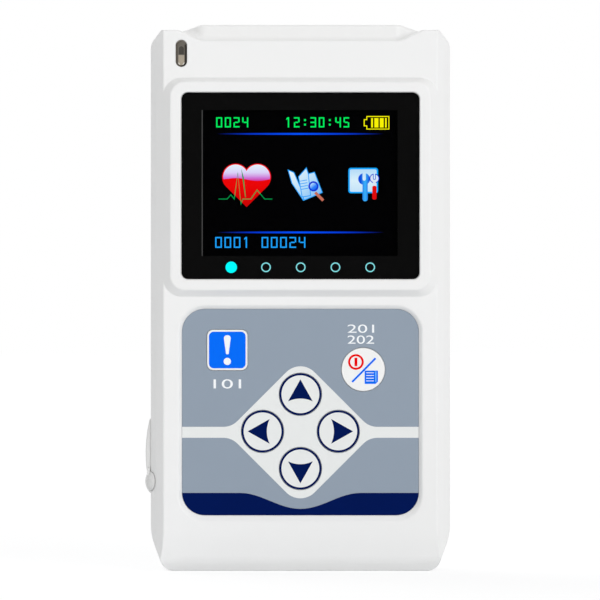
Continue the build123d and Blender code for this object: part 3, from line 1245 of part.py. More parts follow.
PIECES = {
    "front_shell": front_shell,
    "rear_shell": rear_shell,
    "battery_door": battery_door,
    "display_window": display_window,
    "lcd_gasket": lcd_gasket,
    "lcd_panel": lcd_panel,
    "lcd_frame": lcd_frame,
    "lcd_flex": lcd_flex,
    "lcd_connector": lcd_connector,
    "keypad_overlay": keypad_overlay,
    "key_switches": key_switches,
    "main_board": main_board,
    "board_chips": board_chips,
    "signal_board": signal_board,
    "shield_can": shield_can,
    "board_link": board_link,
    "buzzer": buzzer,
    "clock_cell": clock_cell,
    "cell_clip": cell_clip,
    "lead_socket": lead_socket,
    "lead_contacts": lead_contacts,
    "usb_shell": usb_shell,
    "usb_tongue": usb_tongue,
    "port_cover": port_cover,
    "indicator_lens": indicator_lens,
    "indicator_led": indicator_led,
    "battery_left": lambda: cell(-CELL_X, True),
    "battery_right": lambda: cell(CELL_X, False),
    "battery_contacts": battery_contacts,
    "battery_springs": battery_springs,
    "case_screws": case_screws,
    "board_screws": board_screws,
}

os.makedirs("parts", exist_ok=True)
for name, make in PIECES.items():
    export_step(make(), f"parts/{name}.step")
for name in key_outlines(0):
    export_step(key(name), f"parts/{name}.step")
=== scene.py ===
import logging
import math
from dataclasses import dataclass, field, replace
from enum import Enum
from functools import cache

import bpy
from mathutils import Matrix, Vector


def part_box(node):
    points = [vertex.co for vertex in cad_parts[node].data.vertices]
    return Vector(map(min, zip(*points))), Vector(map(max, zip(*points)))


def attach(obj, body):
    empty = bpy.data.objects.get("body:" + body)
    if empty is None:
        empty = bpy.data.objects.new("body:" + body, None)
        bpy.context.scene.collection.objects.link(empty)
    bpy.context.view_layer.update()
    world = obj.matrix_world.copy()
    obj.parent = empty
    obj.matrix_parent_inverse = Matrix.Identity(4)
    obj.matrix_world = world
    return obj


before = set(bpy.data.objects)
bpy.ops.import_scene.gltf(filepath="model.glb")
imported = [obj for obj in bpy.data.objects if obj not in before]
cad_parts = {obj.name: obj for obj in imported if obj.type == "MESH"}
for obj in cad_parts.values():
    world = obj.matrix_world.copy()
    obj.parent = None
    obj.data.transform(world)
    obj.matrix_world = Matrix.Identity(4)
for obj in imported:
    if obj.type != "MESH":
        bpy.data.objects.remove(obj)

# The look of the holter monitor. Every CAD piece keeps its place and gets the material of the real one.
# Thin printed and lit pieces are laid on the display, the keypad film, the keys and the cells. Sizes are in
# millimetres and are turned into metres where a mesh or a pattern is made. X runs to the right, Z up, and
# -Y towards the camera.

LOG = logging.getLogger("holter_look")
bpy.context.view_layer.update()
MM = 0.001
DISPLAY_DOT = 0.1275            # a 2 inch display of 320 by 240 dots
THIN_LINE = 0.21                # on the display
MITRE_LIMIT = 0.35              # keeps the point of a sharp bend short
CASING = "casing"
WHITE = "#FFFFFF"

Point = tuple[float, float]
Outline = list[Point]
Corner = tuple[float, float, float]
Colour = tuple[float, float, float, float]
Stops = tuple[tuple[float, str], ...]
Socket = bpy.types.NodeSocket
Material = bpy.types.Material


# Colour and material

def linear(code: str) -> Colour:
    """Turn an sRGB hex code into a linear colour.

    Args:
        code: six hex digits after a #.

    Returns:
        Red, green, blue and alpha, ready for a shader socket.
    """
    channels = [int(code[i:i + 2], 16) / 255 for i in (1, 3, 5)]
    low = [c / 12.92 if c <= 0.04045 else ((c + 0.055) / 1.055) ** 2.4 for c in channels]
    return (low[0], low[1], low[2], 1.0)


class Grain(Enum):
    """How a surface is broken up at close range."""

    MOULDED = "moulded"      # fine spark-eroded texture, even in all directions
    BRUSHED = "brushed"      # long fine lines
    PEEL = "peel"            # soft waves of paint, lacquer or film
    SMOOTH = "smooth"        # polished, with faint unevenness only


@dataclass(frozen=True)
class Relief:
    """The fine unevenness of a surface."""

    grain: Grain       # its pattern
    size_mm: float     # from one bump to the next
    depth_mm: float    # height of a bump


@dataclass(frozen=True)
class Finish:
    """One real material and how it takes the light."""

    name: str                 # what it is and how its surface was made
    colour: str               # its colour
    second: str               # the tone that the colour wanders towards
    roughness: float          # its middle roughness
    relief: Relief            # its fine unevenness
    cloud_mm: float = 18.0    # size of the slow changes of tone
    spread: float = 0.06      # how far the roughness wanders
    ior: float = 1.46         # how strongly it mirrors, as an index of refraction
    metallic: float = 0.0     # 1 for a metal
    alpha: float = 1.0        # the share of light that a clear sheet stops or throws back
    bevel_mm: float = 0.0     # radius that softens sharp edges in the shading

    def toned(self, name: str, colour: str, second: str) -> "Finish":
        """The same material in another colour."""
        return replace(self, name=name, colour=colour, second=second)


@dataclass(frozen=True)
class Metal(Finish):
    """A bare or plated metal, which keeps the shader's default IOR."""

    ior: float = 1.5
    metallic: float = 1.0


@dataclass(frozen=True)
class Fade:
    """A lit tone that changes along one direction of a picture."""

    name: str       # the material's name
    stops: Stops    # its colours, each with its place from 0 to 1
    start: Point    # where place 0 lies
    end: Point      # where place 1 lies


class Lit(Enum):
    """Colours of the display's lit dots."""

    GREEN = "#00F862"
    PULSE_GREEN = "#009A4A"
    YELLOW = "#FCF600"
    BLUE = "#1CA2FF"
    SKY = "#0AA6FF"
    DEEP_BLUE = "#0A3CDC"
    CYAN = "#00FFFF"
    PALE_CYAN = "#84DCE2"
    SILVER = "#DCE8F6"
    COPPER = "#C8705A"
    RED = "#E00808"


class Nodes:
    """The node tree of a material or a world, with one short call to add a node, set it and link it."""

    def __init__(self, owner: Material | bpy.types.World) -> None:
        """Empty the owner's tree.

        Args:
            owner: the new material or world.
        """
        self.owner = owner
        owner.use_nodes = True
        self.tree = owner.node_tree
        self.tree.nodes.clear()

    def add(self, kind: str, settings: dict[str, object] | None = None, **inputs: object) -> bpy.types.Node:
        """Add one node.

        Args:
            kind: the node's class name, without the ShaderNode prefix.
            settings: properties of the node itself.
            inputs: socket values or sockets to link, by socket name with _ for a space; a name such as
                _0 stands for the socket's number.

        Returns:
            The new node.
        """
        node = self.tree.nodes.new("ShaderNode" + kind)
        for key, value in (settings or {}).items():
            setattr(node, key, value)
        for key, value in inputs.items():
            place = int(key[1:]) if key[1:].isdigit() else key.replace("_", " ")
            socket = node.inputs[place]
            if isinstance(value, Socket):
                self.tree.links.new(value, socket)
            else:
                socket.default_value = value
        return node

    def output(self, shader: Socket) -> Material | bpy.types.World:
        """Link the last shader to the surface, and return the finished material or world."""
        self.add("OutputWorld" if isinstance(self.owner, bpy.types.World) else "OutputMaterial", Surface=shader)
        return self.owner


def relief_height(nodes: Nodes, relief: Relief, place: Socket) -> Socket:
    """The height pattern of a surface's fine unevenness.

    Args:
        nodes: the material being built.
        relief: the unevenness.
        place: object coordinates, in metres.

    Returns:
        A height from 0 to 1.
    """
    per_metre = 1 / (relief.size_mm * MM)
    if relief.grain is Grain.MOULDED:
        cells = nodes.add("TexVoronoi", {"feature": "SMOOTH_F1"}, Vector=place, Scale=per_metre, Smoothness=0.6)
        return cells.outputs["Distance"]
    if relief.grain is Grain.BRUSHED:
        stretched = nodes.add("Mapping", Vector=place, Scale=(per_metre, per_metre, per_metre / 25))
        return nodes.add("TexNoise", Vector=stretched.outputs[0], Scale=1.0, Detail=3.0).outputs[0]
    detail = 1.0 if relief.grain is Grain.SMOOTH else 3.0
    return nodes.add("TexNoise", Vector=place, Scale=per_metre, Detail=detail).outputs[0]


@cache
def surface(finish: Finish) -> Material:
    """Build the material of a finish, once.

    Args:
        finish: what to build.

    Returns:
        The material.
    """
    nodes = Nodes(bpy.data.materials.new(finish.name))
    place = nodes.add("TexCoord").outputs["Object"]
    clouds = nodes.add("TexNoise", Vector=place, Scale=1 / (finish.cloud_mm * MM), Detail=4.0).outputs[0]
    tone = nodes.add(
        "Mix", {"data_type": "RGBA"}, Factor=clouds, _6=linear(finish.colour), _7=linear(finish.second)
    ).outputs[2]
    half_spread = finish.spread / 2
    rough = nodes.add(
        "MapRange", Value=clouds,
        To_Min=max(0.0, finish.roughness - half_spread), To_Max=finish.roughness + half_spread,
    ).outputs[0]
    bump: dict[str, object] = {
        "Height": relief_height(nodes, finish.relief, place),
        "Distance": finish.relief.depth_mm * MM,
        "Strength": 0.5,
    }
    if finish.bevel_mm:
        bump["Normal"] = nodes.add("Bevel", {"samples": 4}, Radius=finish.bevel_mm * MM).outputs[0]
    shader = nodes.add(
        "BsdfPrincipled", Base_Color=tone, Roughness=rough, Normal=nodes.add("Bump", **bump).outputs[0],
        Metallic=finish.metallic, IOR=finish.ior, Alpha=finish.alpha,
    )
    return nodes.output(shader.outputs[0])


def shining(nodes: Nodes, place: Socket, colour: Socket | Colour) -> Material:
    """Finish a material of display dots, whose rows are a little brighter than the gaps between them.

    Args:
        nodes: the material being built.
        place: object coordinates, in metres.
        colour: the dots' colour.

    Returns:
        The material.
    """
    wave_turn = math.pi / 10    # the wave node's band is this wide at a scale of 1
    rows = nodes.add(
        "TexWave", {"bands_direction": "Z"}, Vector=place, Scale=wave_turn / (DISPLAY_DOT * MM)
    ).outputs["Fac"]
    strength = nodes.add("MapRange", Value=rows, To_Min=0.96, To_Max=1.08).outputs[0]
    shader = nodes.add(
        "BsdfPrincipled", Base_Color=linear("#020304"), Roughness=0.3, IOR=1.05,
        Emission_Color=colour, Emission_Strength=strength,
    )
    return nodes.output(shader.outputs[0])


@cache
def lit(colour: Lit) -> Material:
    """Build the material of display dots lit in one colour, once.

    Args:
        colour: which one.

    Returns:
        The material.
    """
    nodes = Nodes(bpy.data.materials.new("lit_" + colour.name.lower()))
    return shining(nodes, nodes.add("TexCoord").outputs["Object"], linear(colour.value))


@cache
def faded(fade: Fade, x: float, z: float) -> Material:
    """Build a lit tone that changes across a picture, once.

    Args:
        fade: its stops and the line that they run along.
        x: the picture's middle.
        z: height of the picture's middle.

    Returns:
        The material.
    """
    nodes = Nodes(bpy.data.materials.new(fade.name))
    place = nodes.add("TexCoord").outputs["Object"]
    start, end = (Vector((px, 0, pz)) * MM for px, pz in moved([fade.start, fade.end], x, z))
    run = end - start
    away = nodes.add("VectorMath", {"operation": "SUBTRACT"}, _0=place, _1=start).outputs[0]
    along = nodes.add(
        "VectorMath", {"operation": "DOT_PRODUCT"}, _0=away, _1=run / run.length_squared
    ).outputs["Value"]
    ramp = nodes.add("ValToRGB", Fac=along)
    elements = ramp.color_ramp.elements
    for element, (position, code) in zip(elements, (fade.stops[0], fade.stops[-1])):
        element.position, element.color = position, linear(code)
    for position, code in fade.stops[1:-1]:
        elements.new(position).color = linear(code)
    return shining(nodes, place, ramp.outputs[0])


# Casing and battery door: ABS from a spark-eroded tool, near white and satin, so that each highlight spreads. The
# real texture is about 0.1 mm, half a pixel of the render, and is drawn three times as coarse, so that it shows
ABS_WHITE = Finish("abs_moulded_white", "#EEEEEE", "#ECECEB", 0.46, Relief(Grain.MOULDED, 0.3, 0.01), 30.0,
                   bevel_mm=0.35)
# Port flap: soft moulded TPE, duller than the casing, greyer by painted shade, so its plate and grip stand out
TPE_SHADED = Finish("tpe_moulded_painted_shade", "#E0E0DF", "#DCDCDB", 0.52, Relief(Grain.MOULDED, 0.25, 0.008), 10.0,
                  bevel_mm=0.25)
# Window: cast acrylic, coated against reflections, as clear as air, so all that shines is the print and the glass
# behind it
ACRYLIC_CLEAR = Finish("acrylic_clear", "#000000", "#010101", 0.03, Relief(Grain.SMOOTH, 22.0, 0.002), spread=0.01,
                       ior=1.0, alpha=0.03)
# Window's border: screen-printed ink on its back, dense black with hardly any shine
INK_BLACK = Finish("screen_ink_black", "#0A0A0A", "#0C0C0C", 0.32, Relief(Grain.PEEL, 0.6, 0.002), ior=1.06)
# Edge of the display beside the window's opening, on the left only: a grey line of painted highlight
EDGE_HIGHLIGHT_GREY = Finish("painted_edge_highlight_grey", "#262626", "#2A2A2A", 0.32, Relief(Grain.PEEL, 0.6, 0.002))
# Display: polished glass over dark dots, black with the faintest grey
LCD_BLACK = Finish("lcd_glass_black", "#020203", "#030304", 0.16, Relief(Grain.SMOOTH, 5.0, 0.001), spread=0.04,
                   ior=1.03)
# Keypad: textured polyester film, printed from behind, which gives the colours one soft even sheen. Its texture of
# about 0.1 mm is drawn at 0.25 mm, so that it shows
FILM_GREY = Finish("polyester_film_grey", "#8C99A8", "#8996A5", 0.42, Relief(Grain.PEEL, 0.25, 0.006), 12.0)
# The same film over white print
FILM_WHITE = FILM_GREY.toned("polyester_film_white", "#E7E9E8", "#E3E5E4")
# The same film over navy print, where little of the sheen is left
FILM_NAVY = replace(FILM_GREY, name="polyester_film_navy", colour="#00144E", second="#001654", roughness=0.40,
                    ior=1.08)
# Mark and menu keys: moulded ABS with a clear coat, a little smoother and whiter than the casing
KEY_WHITE = Finish("abs_coated_white", "#F2F2F1", "#EFEFEE", 0.36, Relief(Grain.MOULDED, 0.22, 0.004), 6.0)
# Signs on the keys: screen-printed inks, strong in colour, with a low sheen
INK_BLUE = Finish("screen_ink_blue", "#0069F4", "#006EFA", 0.34, Relief(Grain.PEEL, 0.3, 0.004), 5.0, ior=1.12)
INK_SKY = replace(INK_BLUE, name="screen_ink_sky", colour="#6CB4F6", second="#74BAFA", ior=1.46)
# Mark key's sign and the film's numbers: the same kind of ink in white, flat and even
INK_WHITE = Finish("screen_ink_white", "#F6F8FA", "#F0F3F6", 0.38, Relief(Grain.PEEL, 0.3, 0.003))
# Power sign: the same kind of ink in a full red
INK_RED = replace(INK_WHITE, name="screen_ink_red", colour="#F00408", second="#E80408", ior=1.08)
# Indicator: smoked polycarbonate, polished, brown and dark, with a soft gleam
LENS_SMOKED = Finish("polycarbonate_smoked", "#6C675F", "#625C54", 0.16, Relief(Grain.SMOOTH, 2.5, 0.006), 2.0, 0.04,
                     1.3)
# The lens's moulded walls seen through it, in painted shade: almost black on the right, lit brown on the left
LENS_WALL_SHADED = Finish("polycarbonate_wall_painted_shade", "#302C28", "#3A3630", 0.3, Relief(Grain.SMOOTH, 2.0, 0.004), 1.5,
                   ior=1.2)
LENS_WALL_LIT = LENS_WALL_SHADED.toned("polycarbonate_wall_painted_light", "#544E46", "#5C564E")
# The lens's rounded top edge, which catches the light
LENS_BROW = LENS_WALL_SHADED.toned("polycarbonate_brow_pale", "#98928A", "#8E887E")
# Light guide behind the lens: moulded acrylic, a dark body with a paler edge
GUIDE_EDGE = LENS_WALL_SHADED.toned("acrylic_guide_edge", "#77736A", "#6C685F")
GUIDE_DARK = Finish("acrylic_guide_dark", "#423F3A", "#4C4843", 0.25, Relief(Grain.SMOOTH, 2.0, 0.004), 1.2, ior=1.2)
# Lamp seen through the lens: cast epoxy, beige, and two pale glints at its lower corners
LAMP_BEIGE = replace(GUIDE_DARK, name="epoxy_lamp_beige", colour="#9A9080", second="#A89C8A", ior=1.46)
LAMP_GLINT = Finish("epoxy_glint_pale", "#E8E4DC", "#DCD8CE", 0.2, Relief(Grain.SMOOTH, 1.0, 0.002))
# The lamp itself: milky cast epoxy
LED_EPOXY = Finish("epoxy_milky", "#E9DFC6", "#DDD0B2", 0.25, Relief(Grain.SMOOTH, 1.2, 0.01))
# Gasket: open polyurethane foam, black and quite dull, with pores that show
FOAM_BLACK = Finish("polyurethane_foam_black", "#141414", "#1D1D1D", 0.95, Relief(Grain.MOULDED, 0.5, 0.06), 4.0)
# Chips, plugs and buzzer: moulded polyamide, black and satin
PA_BLACK = Finish("polyamide_black", "#17181A", "#1E1F22", 0.55, Relief(Grain.MOULDED, 0.2, 0.008), 6.0)
# Lead socket: moulded PBT, dark grey and a little smoother
PBT_GREY = replace(PA_BLACK, name="pbt_dark_grey", colour="#3A3D42", second="#44474C", roughness=0.5)
# Backlight tray: moulded polycarbonate, pale grey, satin
TRAY_GREY = Finish("polycarbonate_tray", "#C8CACB", "#BDBFC1", 0.5, Relief(Grain.MOULDED, 0.3, 0.008))
# Display's ribbon: polyimide film, amber and glossy
POLYIMIDE = Finish("polyimide_amber", "#B8701E", "#A86218", 0.3, Relief(Grain.PEEL, 0.8, 0.01))
# Boards: solder mask, a deep green lacquer with soft waves
BOARD_GREEN = Finish("solder_mask_green", "#0E5A34", "#0A4A2A", 0.28, Relief(Grain.PEEL, 0.5, 0.01), 5.0)
# Shield, port shell, switches, clock cell and clip: tinned sheet steel, rolled, with a broad grey gleam
SHEET_TINNED = Metal("steel_tinned", "#C9CACA", "#B5B7B8", 0.34, Relief(Grain.BRUSHED, 0.12, 0.004), 8.0, 0.16)
# Battery contacts and cans: nickel-plated steel, warmer and brighter
PLATE_NICKEL = Metal("steel_nickel_plated", "#D2D0CA", "#BEBBB4", 0.24, Relief(Grain.BRUSHED, 0.15, 0.004), 6.0, 0.14)
# Lead contacts: gold-plated brass pins, yellow and bright
PIN_GOLD = Metal("brass_gold_plated", "#E6BE5C", "#D8AC48", 0.2, Relief(Grain.SMOOTH, 0.4, 0.002), 3.0, 0.1)
# Screws: zinc-plated steel, blue-grey and slightly uneven
SCREW_ZINC = Metal("steel_zinc_plated", "#A9ABAE", "#8E9094", 0.36, Relief(Grain.PEEL, 0.3, 0.006), 2.0, 0.16)
# Cells' sleeves: shrunk PVC, printed in two plain tones, glossy, with soft waves
SLEEVE_BLUE = Finish("pvc_sleeve_blue", "#2C4A78", "#35548A", 0.3, Relief(Grain.PEEL, 1.5, 0.01), 9.0)
SLEEVE_SILVER = SLEEVE_BLUE.toned("pvc_sleeve_silver", "#B9BDC2", "#AEB2B8")


# Outlines in the front view

def moved(outline: Outline, x: float, z: float) -> Outline:
    """An outline moved by x and z."""
    return [(px + x, pz + z) for px, pz in outline]


def rounded(corners: list[Corner], steps: int = 8) -> Outline:
    """A closed outline whose corners are rounded.

    Args:
        corners: each corner as x, z and radius, in order round the outline.
        steps: points along each rounded corner.

    Returns:
        The outline's points.
    """
    points: Outline = []
    for index, (x, z, radius) in enumerate(corners):
        here = Vector((x, z))
        if radius <= 0:
            points.append((x, z))
            continue
        before = (Vector(corners[index - 1][:2]) - here).normalized()
        after = (Vector(corners[(index + 1) % len(corners)][:2]) - here).normalized()
        half = before.angle(after) / 2
        start = here + before * (radius / math.tan(half))
        end = here + after * (radius / math.tan(half))
        centre = here + (before + after).normalized() * (radius / math.sin(half))
        first = math.atan2(start.y - centre.y, start.x - centre.x)
        turn = math.atan2(end.y - centre.y, end.x - centre.x) - first
        turn = (turn + math.pi) % (2 * math.pi) - math.pi
        for step in range(steps + 1):
            angle = first + turn * step / steps
            points.append((centre.x + radius * math.cos(angle), centre.y + radius * math.sin(angle)))
    return points


def rectangle(x: float, z: float, width: float, height: float, radius: float = 0.0) -> Outline:
    """A rectangle about a centre at x and z, with rounded corners if a radius is given."""
    w, h = width / 2, height / 2
    return rounded([(x - w, z - h, radius), (x + w, z - h, radius), (x + w, z + h, radius), (x - w, z + h, radius)])


def arc(x: float, z: float, radius: float, start: float, end: float, steps: int = 24) -> Outline:
    """Points along an arc about x and z, between two angles in degrees from +X towards +Z, with both ends."""
    angles = [math.radians(start + (end - start) * i / steps) for i in range(steps + 1)]
    return [(x + radius * math.cos(a), z + radius * math.sin(a)) for a in angles]


def circle(x: float, z: float, radius: float) -> Outline:
    """A circle of a radius about a centre at x and z."""
    return arc(x, z, radius, 0, 360, 64)[:-1]


def ring(x: float, z: float, radius: float, line: float) -> list[Outline]:
    """A ring of an outer radius about a centre at x and z, drawn with an even line."""
    return [circle(x, z, radius), circle(x, z, radius - line)]


def mitre(before: Vector, after: Vector) -> Vector:
    """The step from a bend of a line to the same bend one millimetre to its left.

    Args:
        before: the line's direction before the bend.
        after: its direction after the bend.

    Returns:
        The step, kept short at a sharp bend.
    """
    left = Vector((-before.y, before.x))
    middle = (left + Vector((-after.y, after.x))).normalized()
    return middle / max(MITRE_LIMIT, middle.dot(left))


def bow(x: float, z: float, outer: float, inner: float, start: float, end: float, steps: int) -> Outline:
    """A bent bar about x and z, from one radius to another and from one angle to another."""
    return arc(x, z, outer, start, end, steps) + arc(x, z, inner, end, start, steps)


def ribbon(path: Outline, width: float) -> Outline:
    """A line drawn with a pen: the closed outline of a path of even width, with mitred bends.

    Args:
        path: the line's points.
        width: the pen's width.

    Returns:
        The outline's points.
    """
    left, right = [], []
    for index, point in enumerate(path):
        here = Vector(point)
        before = (here - Vector(path[index - 1])).normalized() if index else None
        after = (Vector(path[index + 1]) - here).normalized() if index + 1 < len(path) else None
        step = mitre(before or after, after or before) * width / 2
        left.append(tuple(here + step))
        right.append(tuple(here - step))
    return left + right[::-1]


def framed(outline: Outline, width: float) -> list[Outline]:
    """A closed outline drawn as an even line inside itself.

    Args:
        outline: its points, in either direction.
        width: the line's width.

    Returns:
        The outline, and the hole that leaves the line.
    """
    twice_area = sum(a[0] * b[1] - b[0] * a[1] for a, b in zip(outline, outline[1:] + outline[:1]))
    side = 1 if twice_area > 0 else -1
    hole = []
    for index, point in enumerate(outline):
        here = Vector(point)
        before = (here - Vector(outline[index - 1])).normalized()
        after = (Vector(outline[(index + 1) % len(outline)]) - here).normalized()
        hole.append(tuple(here + mitre(before, after) * side * width))
    return [outline, hole]


def turned(outline: Outline, x: float, z: float, degrees: float) -> Outline:
    """An outline turned about x and z by degrees, from +X towards +Z."""
    c, s = math.cos(math.radians(degrees)), math.sin(math.radians(degrees))
    return [(x + (px - x) * c - (pz - z) * s, z + (px - x) * s + (pz - z) * c) for px, pz in outline]


BESIDE = {"a": ("f", "b"), "g": ("ef", "bc"), "d": ("e", "c")}    # uprights at a level bar's ends
SEGMENTS = {
    "0": "abcdef", "2": "abged", "3": "abgcd", "4": "fgbc", "5": "afgcd",
    "6": "afgedc", "7": "abc", "8": "abcdefg", "9": "abcdfg", " ": "",
}


def segments(sign: str, left: float, low: float, width: float, height: float, line: float) -> list[Outline]:
    """One digit built from up to seven even bars, or a colon.

    Args:
        sign: the digit, a colon or a space.
        left: its left edge.
        low: its lower edge.
        width: its width.
        height: its height.
        line: width of a bar.

    Returns:
        The bars' outlines.
    """
    middle, right, high, half_way = left + width / 2, left + width, low + height, low + height / 2
    if sign == ":":
        dot = 1.4 * line
        return [rectangle(middle, low + height * share, dot, dot) for share in (0.28, 0.72)]
    if sign == "1":
        half, tip = line / 2, middle - 1.7 * line
        return [[
            (middle - half, low), (middle + half, low), (middle + half, high), (middle - half, high),
            (tip, high - 1.1 * line), (tip, high - 2.2 * line), (middle - half, high - 1.2 * line),
        ]]
    hair = 0.08 * line      # keeps neighbouring bars apart
    level = {"a": high - line, "g": half_way - line / 2, "d": low}
    upright = {"b": (right - line, half_way), "c": (right - line, low), "e": (left, low), "f": (left, half_way)}
    bars = []
    for bar in SEGMENTS[sign]:
        if bar in level:
            start = left + (line + hair if set(BESIDE[bar][0]) & set(SEGMENTS[sign]) else 0)
            end = right - (line + hair if set(BESIDE[bar][1]) & set(SEGMENTS[sign]) else 0)
            bars.append(rectangle((start + end) / 2, level[bar] + line / 2, end - start, line))
        else:
            x, bottom = upright[bar]
            bars.append(rectangle(x + line / 2, bottom + height / 4, line, height / 2 - hair))
    return bars


# Pieces

def linked(name: str, data: bpy.types.ID) -> bpy.types.Object:
    """Put a new object into the scene.

    Args:
        name: its name.
        data: what it shows.

    Returns:
        The object.
    """
    new = bpy.data.objects.new(name, data)
    bpy.context.scene.collection.objects.link(new)
    return new


def cover(mesh: bpy.types.Mesh, material: Material) -> None:
    """Give a mesh one material all over."""
    mesh.materials.clear()
    mesh.materials.append(material)


def add_piece(name: str, mesh: bpy.types.Mesh, material: Material, body: str) -> bpy.types.Object:
    """Add a piece that rides on a body.

    Args:
        name: the piece's name.
        mesh: its mesh.
        material: its material.
        body: the CAD body that it rides on.

    Returns:
        The piece.
    """
    cover(mesh, material)
    piece = linked(name, mesh)
    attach(piece, body)
    LOG.info("piece %s on %s", name, body)
    return piece


def dress(finish: Finish, *names: str) -> None:
    """Give CAD nodes their real material.

    Args:
        finish: the material to use.
        names: the nodes.
    """
    for name in names:
        cover(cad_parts[name].data, surface(finish))
        LOG.info("node %s in %s", name, finish.name)


def box_mm(node: str) -> tuple[Vector, Vector]:
    """The lowest and the highest corner of a CAD node, in millimetres."""
    low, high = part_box(node)
    return Vector(low) / MM, Vector(high) / MM


def middle_of(node: str) -> Point:
    """The x and z of a CAD node's middle, in millimetres."""
    low, high = box_mm(node)
    return (low.x + high.x) / 2, (low.z + high.z) / 2


@dataclass(frozen=True)
class Face:
    """A flat front face that takes print, ink or lit shapes."""

    front: float                # its depth
    slot: str                   # names the material of what is laid on it; not used
    body: str = CASING          # the CAD body that it is on
    step: float = 0.012         # from one laid level to the next
    thickness: float = 0.012    # thickness of what is laid on it

    def sheet(self, name: str, outlines: list[Outline], look: Finish | Material, level: int = 1) -> None:
        """Lay a flat shape on the face.

        Args:
            name: the piece's name.
            outlines: closed outlines in the front view; one inside another is a hole in it.
            look: its finish or material.
            level: how many steps above the face it lies.
        """
        curve = bpy.data.curves.new(name, "CURVE")
        curve.dimensions = "2D"
        curve.fill_mode = "BOTH"
        for outline in outlines:
            spline = curve.splines.new("POLY")
            spline.points.add(len(outline) - 1)
            for point, (x, z) in zip(spline.points, outline):
                point.co = (x, z, 0, 1)
            spline.use_cyclic_u = True
        self.stand_up(name, curve, look, level)

    def digits(self, name: str, text: str, left: float, low: float, width: float, height: float) -> None:
        """Print a row of plain white digits on the face.

        Args:
            name: the piece's name.
            text: the digits.
            left: the first digit's left edge.
            low: the digits' lower edge.
            width: the whole row's width, to which the digits are fitted.
            height: height of a digit.
        """
        curve = bpy.data.curves.new(name, "FONT")
        curve.body = text
        piece = self.stand_up(name, curve, INK_WHITE, 1)
        vertices = piece.data.vertices
        for axis, start, size in ((0, left, width), (2, low, height)):
            lowest = min(vertex.co[axis] for vertex in vertices)
            highest = max(vertex.co[axis] for vertex in vertices)
            for vertex in vertices:
                share = (vertex.co[axis] - lowest) / (highest - lowest)
                vertex.co[axis] = (start + share * size) * MM

    def stand_up(self, name: str, curve: bpy.types.Curve, look: Finish | Material, level: int) -> bpy.types.Object:
        """Turn a flat curve into an upright piece on the face.

        Args:
            name: the piece's name.
            curve: its shape, in millimetres in its own plane.
            look: its finish or material.
            level: how many steps above the face it lies.

        Returns:
            The piece.
        """
        curve.extrude = self.thickness / 2
        flat = linked(name + "_flat", curve)
        bpy.context.view_layer.update()
        mesh = bpy.data.meshes.new_from_object(flat.evaluated_get(bpy.context.evaluated_depsgraph_get()))
        bpy.data.objects.remove(flat)
        middle = self.front - level * self.step + self.thickness / 2
        for vertex in mesh.vertices:
            x, z, depth = vertex.co
            vertex.co = (x * MM, (middle - depth) * MM, z * MM)
        material = surface(look) if isinstance(look, Finish) else look
        return add_piece(name, mesh, material, self.body)


@dataclass
class Casing:
    """The two shells, the battery door, the port flap and their screws."""

    def build(self) -> None:
        """Dress the casing's pieces."""
        dress(ABS_WHITE, "front_shell", "rear_shell", "battery_door")
        # The port flap's greyer tone is painted shade.
        dress(TPE_SHADED, "port_cover")
        dress(SCREW_ZINC, "case_screws", "board_screws")


@dataclass
class Indicator:
    """The smoked slot lens at the upper left, with what shows through it."""

    strip: float = 1.26         # width of the light guide behind the lens
    shift: float = 0.05         # the guide's channel lies this far to the left, so that more of the right wall shows
    wall_gap: float = 0.1       # from the guide to the walls beside it
    brow_line: float = 0.16     # width of the top edge that catches the light
    lamp_share: float = 0.44    # the lamp's top, as a share of the lens's height
    lamp_rise: float = 0.35     # the lamp's foot above the lens's
    guide_drop: float = 1.2     # the guide's round top below the lens's
    guide_line: float = 0.09    # width of the guide's paler edge
    glint_span: float = 50.0    # length of a glint, in degrees

    def build(self) -> None:
        """Dress the lens and the lamp, and lay on it what shows through, with the walls' painted light and shade."""
        dress(LENS_SMOKED, "indicator_lens")
        dress(LED_EPOXY, "indicator_led")
        low, high = box_mm("indicator_lens")
        lens = Face(low.y, "lens_smoked")
        radius, half = (high.x - low.x) / 2, self.strip / 2
        x, bottom, top = low.x + radius, low.z + radius, high.z - radius
        # Painted light and shade: the right wall dark as in shade, the left one a lit brown.
        for side, name, finish, crown in ((1, "right", LENS_WALL_SHADED, 15), (-1, "left", LENS_WALL_LIT, 90)):
            inner = half + self.wall_gap - side * self.shift
            wall = arc(0, bottom, radius, -90, 0, 12) + arc(0, top, radius, 0, crown, 12)
            wall += arc(0, top, inner, crown, 0, 12) + arc(0, bottom, inner, 0, -90, 12)
            lens.sheet(f"indicator_wall_{name}", [[(x + side * px, pz) for px, pz in wall]], finish)
        lens.sheet("indicator_brow", [bow(x, top, radius, radius - self.brow_line, 35, 145, 12)], LENS_BROW, 2)
        split = low.z + (high.z - low.z) * self.lamp_share
        guide = self.dome(x, split, high.z - self.guide_drop)
        lens.sheet("indicator_guide", [guide], GUIDE_DARK, 2)
        lens.sheet("indicator_guide_edge", framed(guide, self.guide_line), GUIDE_EDGE, 3)
        base = low.z + self.lamp_rise
        lamp = turned(self.dome(x, base, split), x, (base + split) / 2, 180)
        lens.sheet("indicator_lamp", [lamp], LAMP_BEIGE, 2)
        for name, start in (("left", 190), ("right", 300)):
            glint = bow(x, base + half, 1.05 * half, 0.8 * half, start, start + self.glint_span, 8)
            lens.sheet(f"indicator_glint_{name}", [glint], LAMP_GLINT, 3)

    def dome(self, x: float, low: float, high: float) -> Outline:
        """An upright panel about x, as wide as the strip, with a round top."""
        half = self.strip / 2
        return [(x - half, low), (x + half, low)] + arc(x, high - half, half, 0, 180, 16)


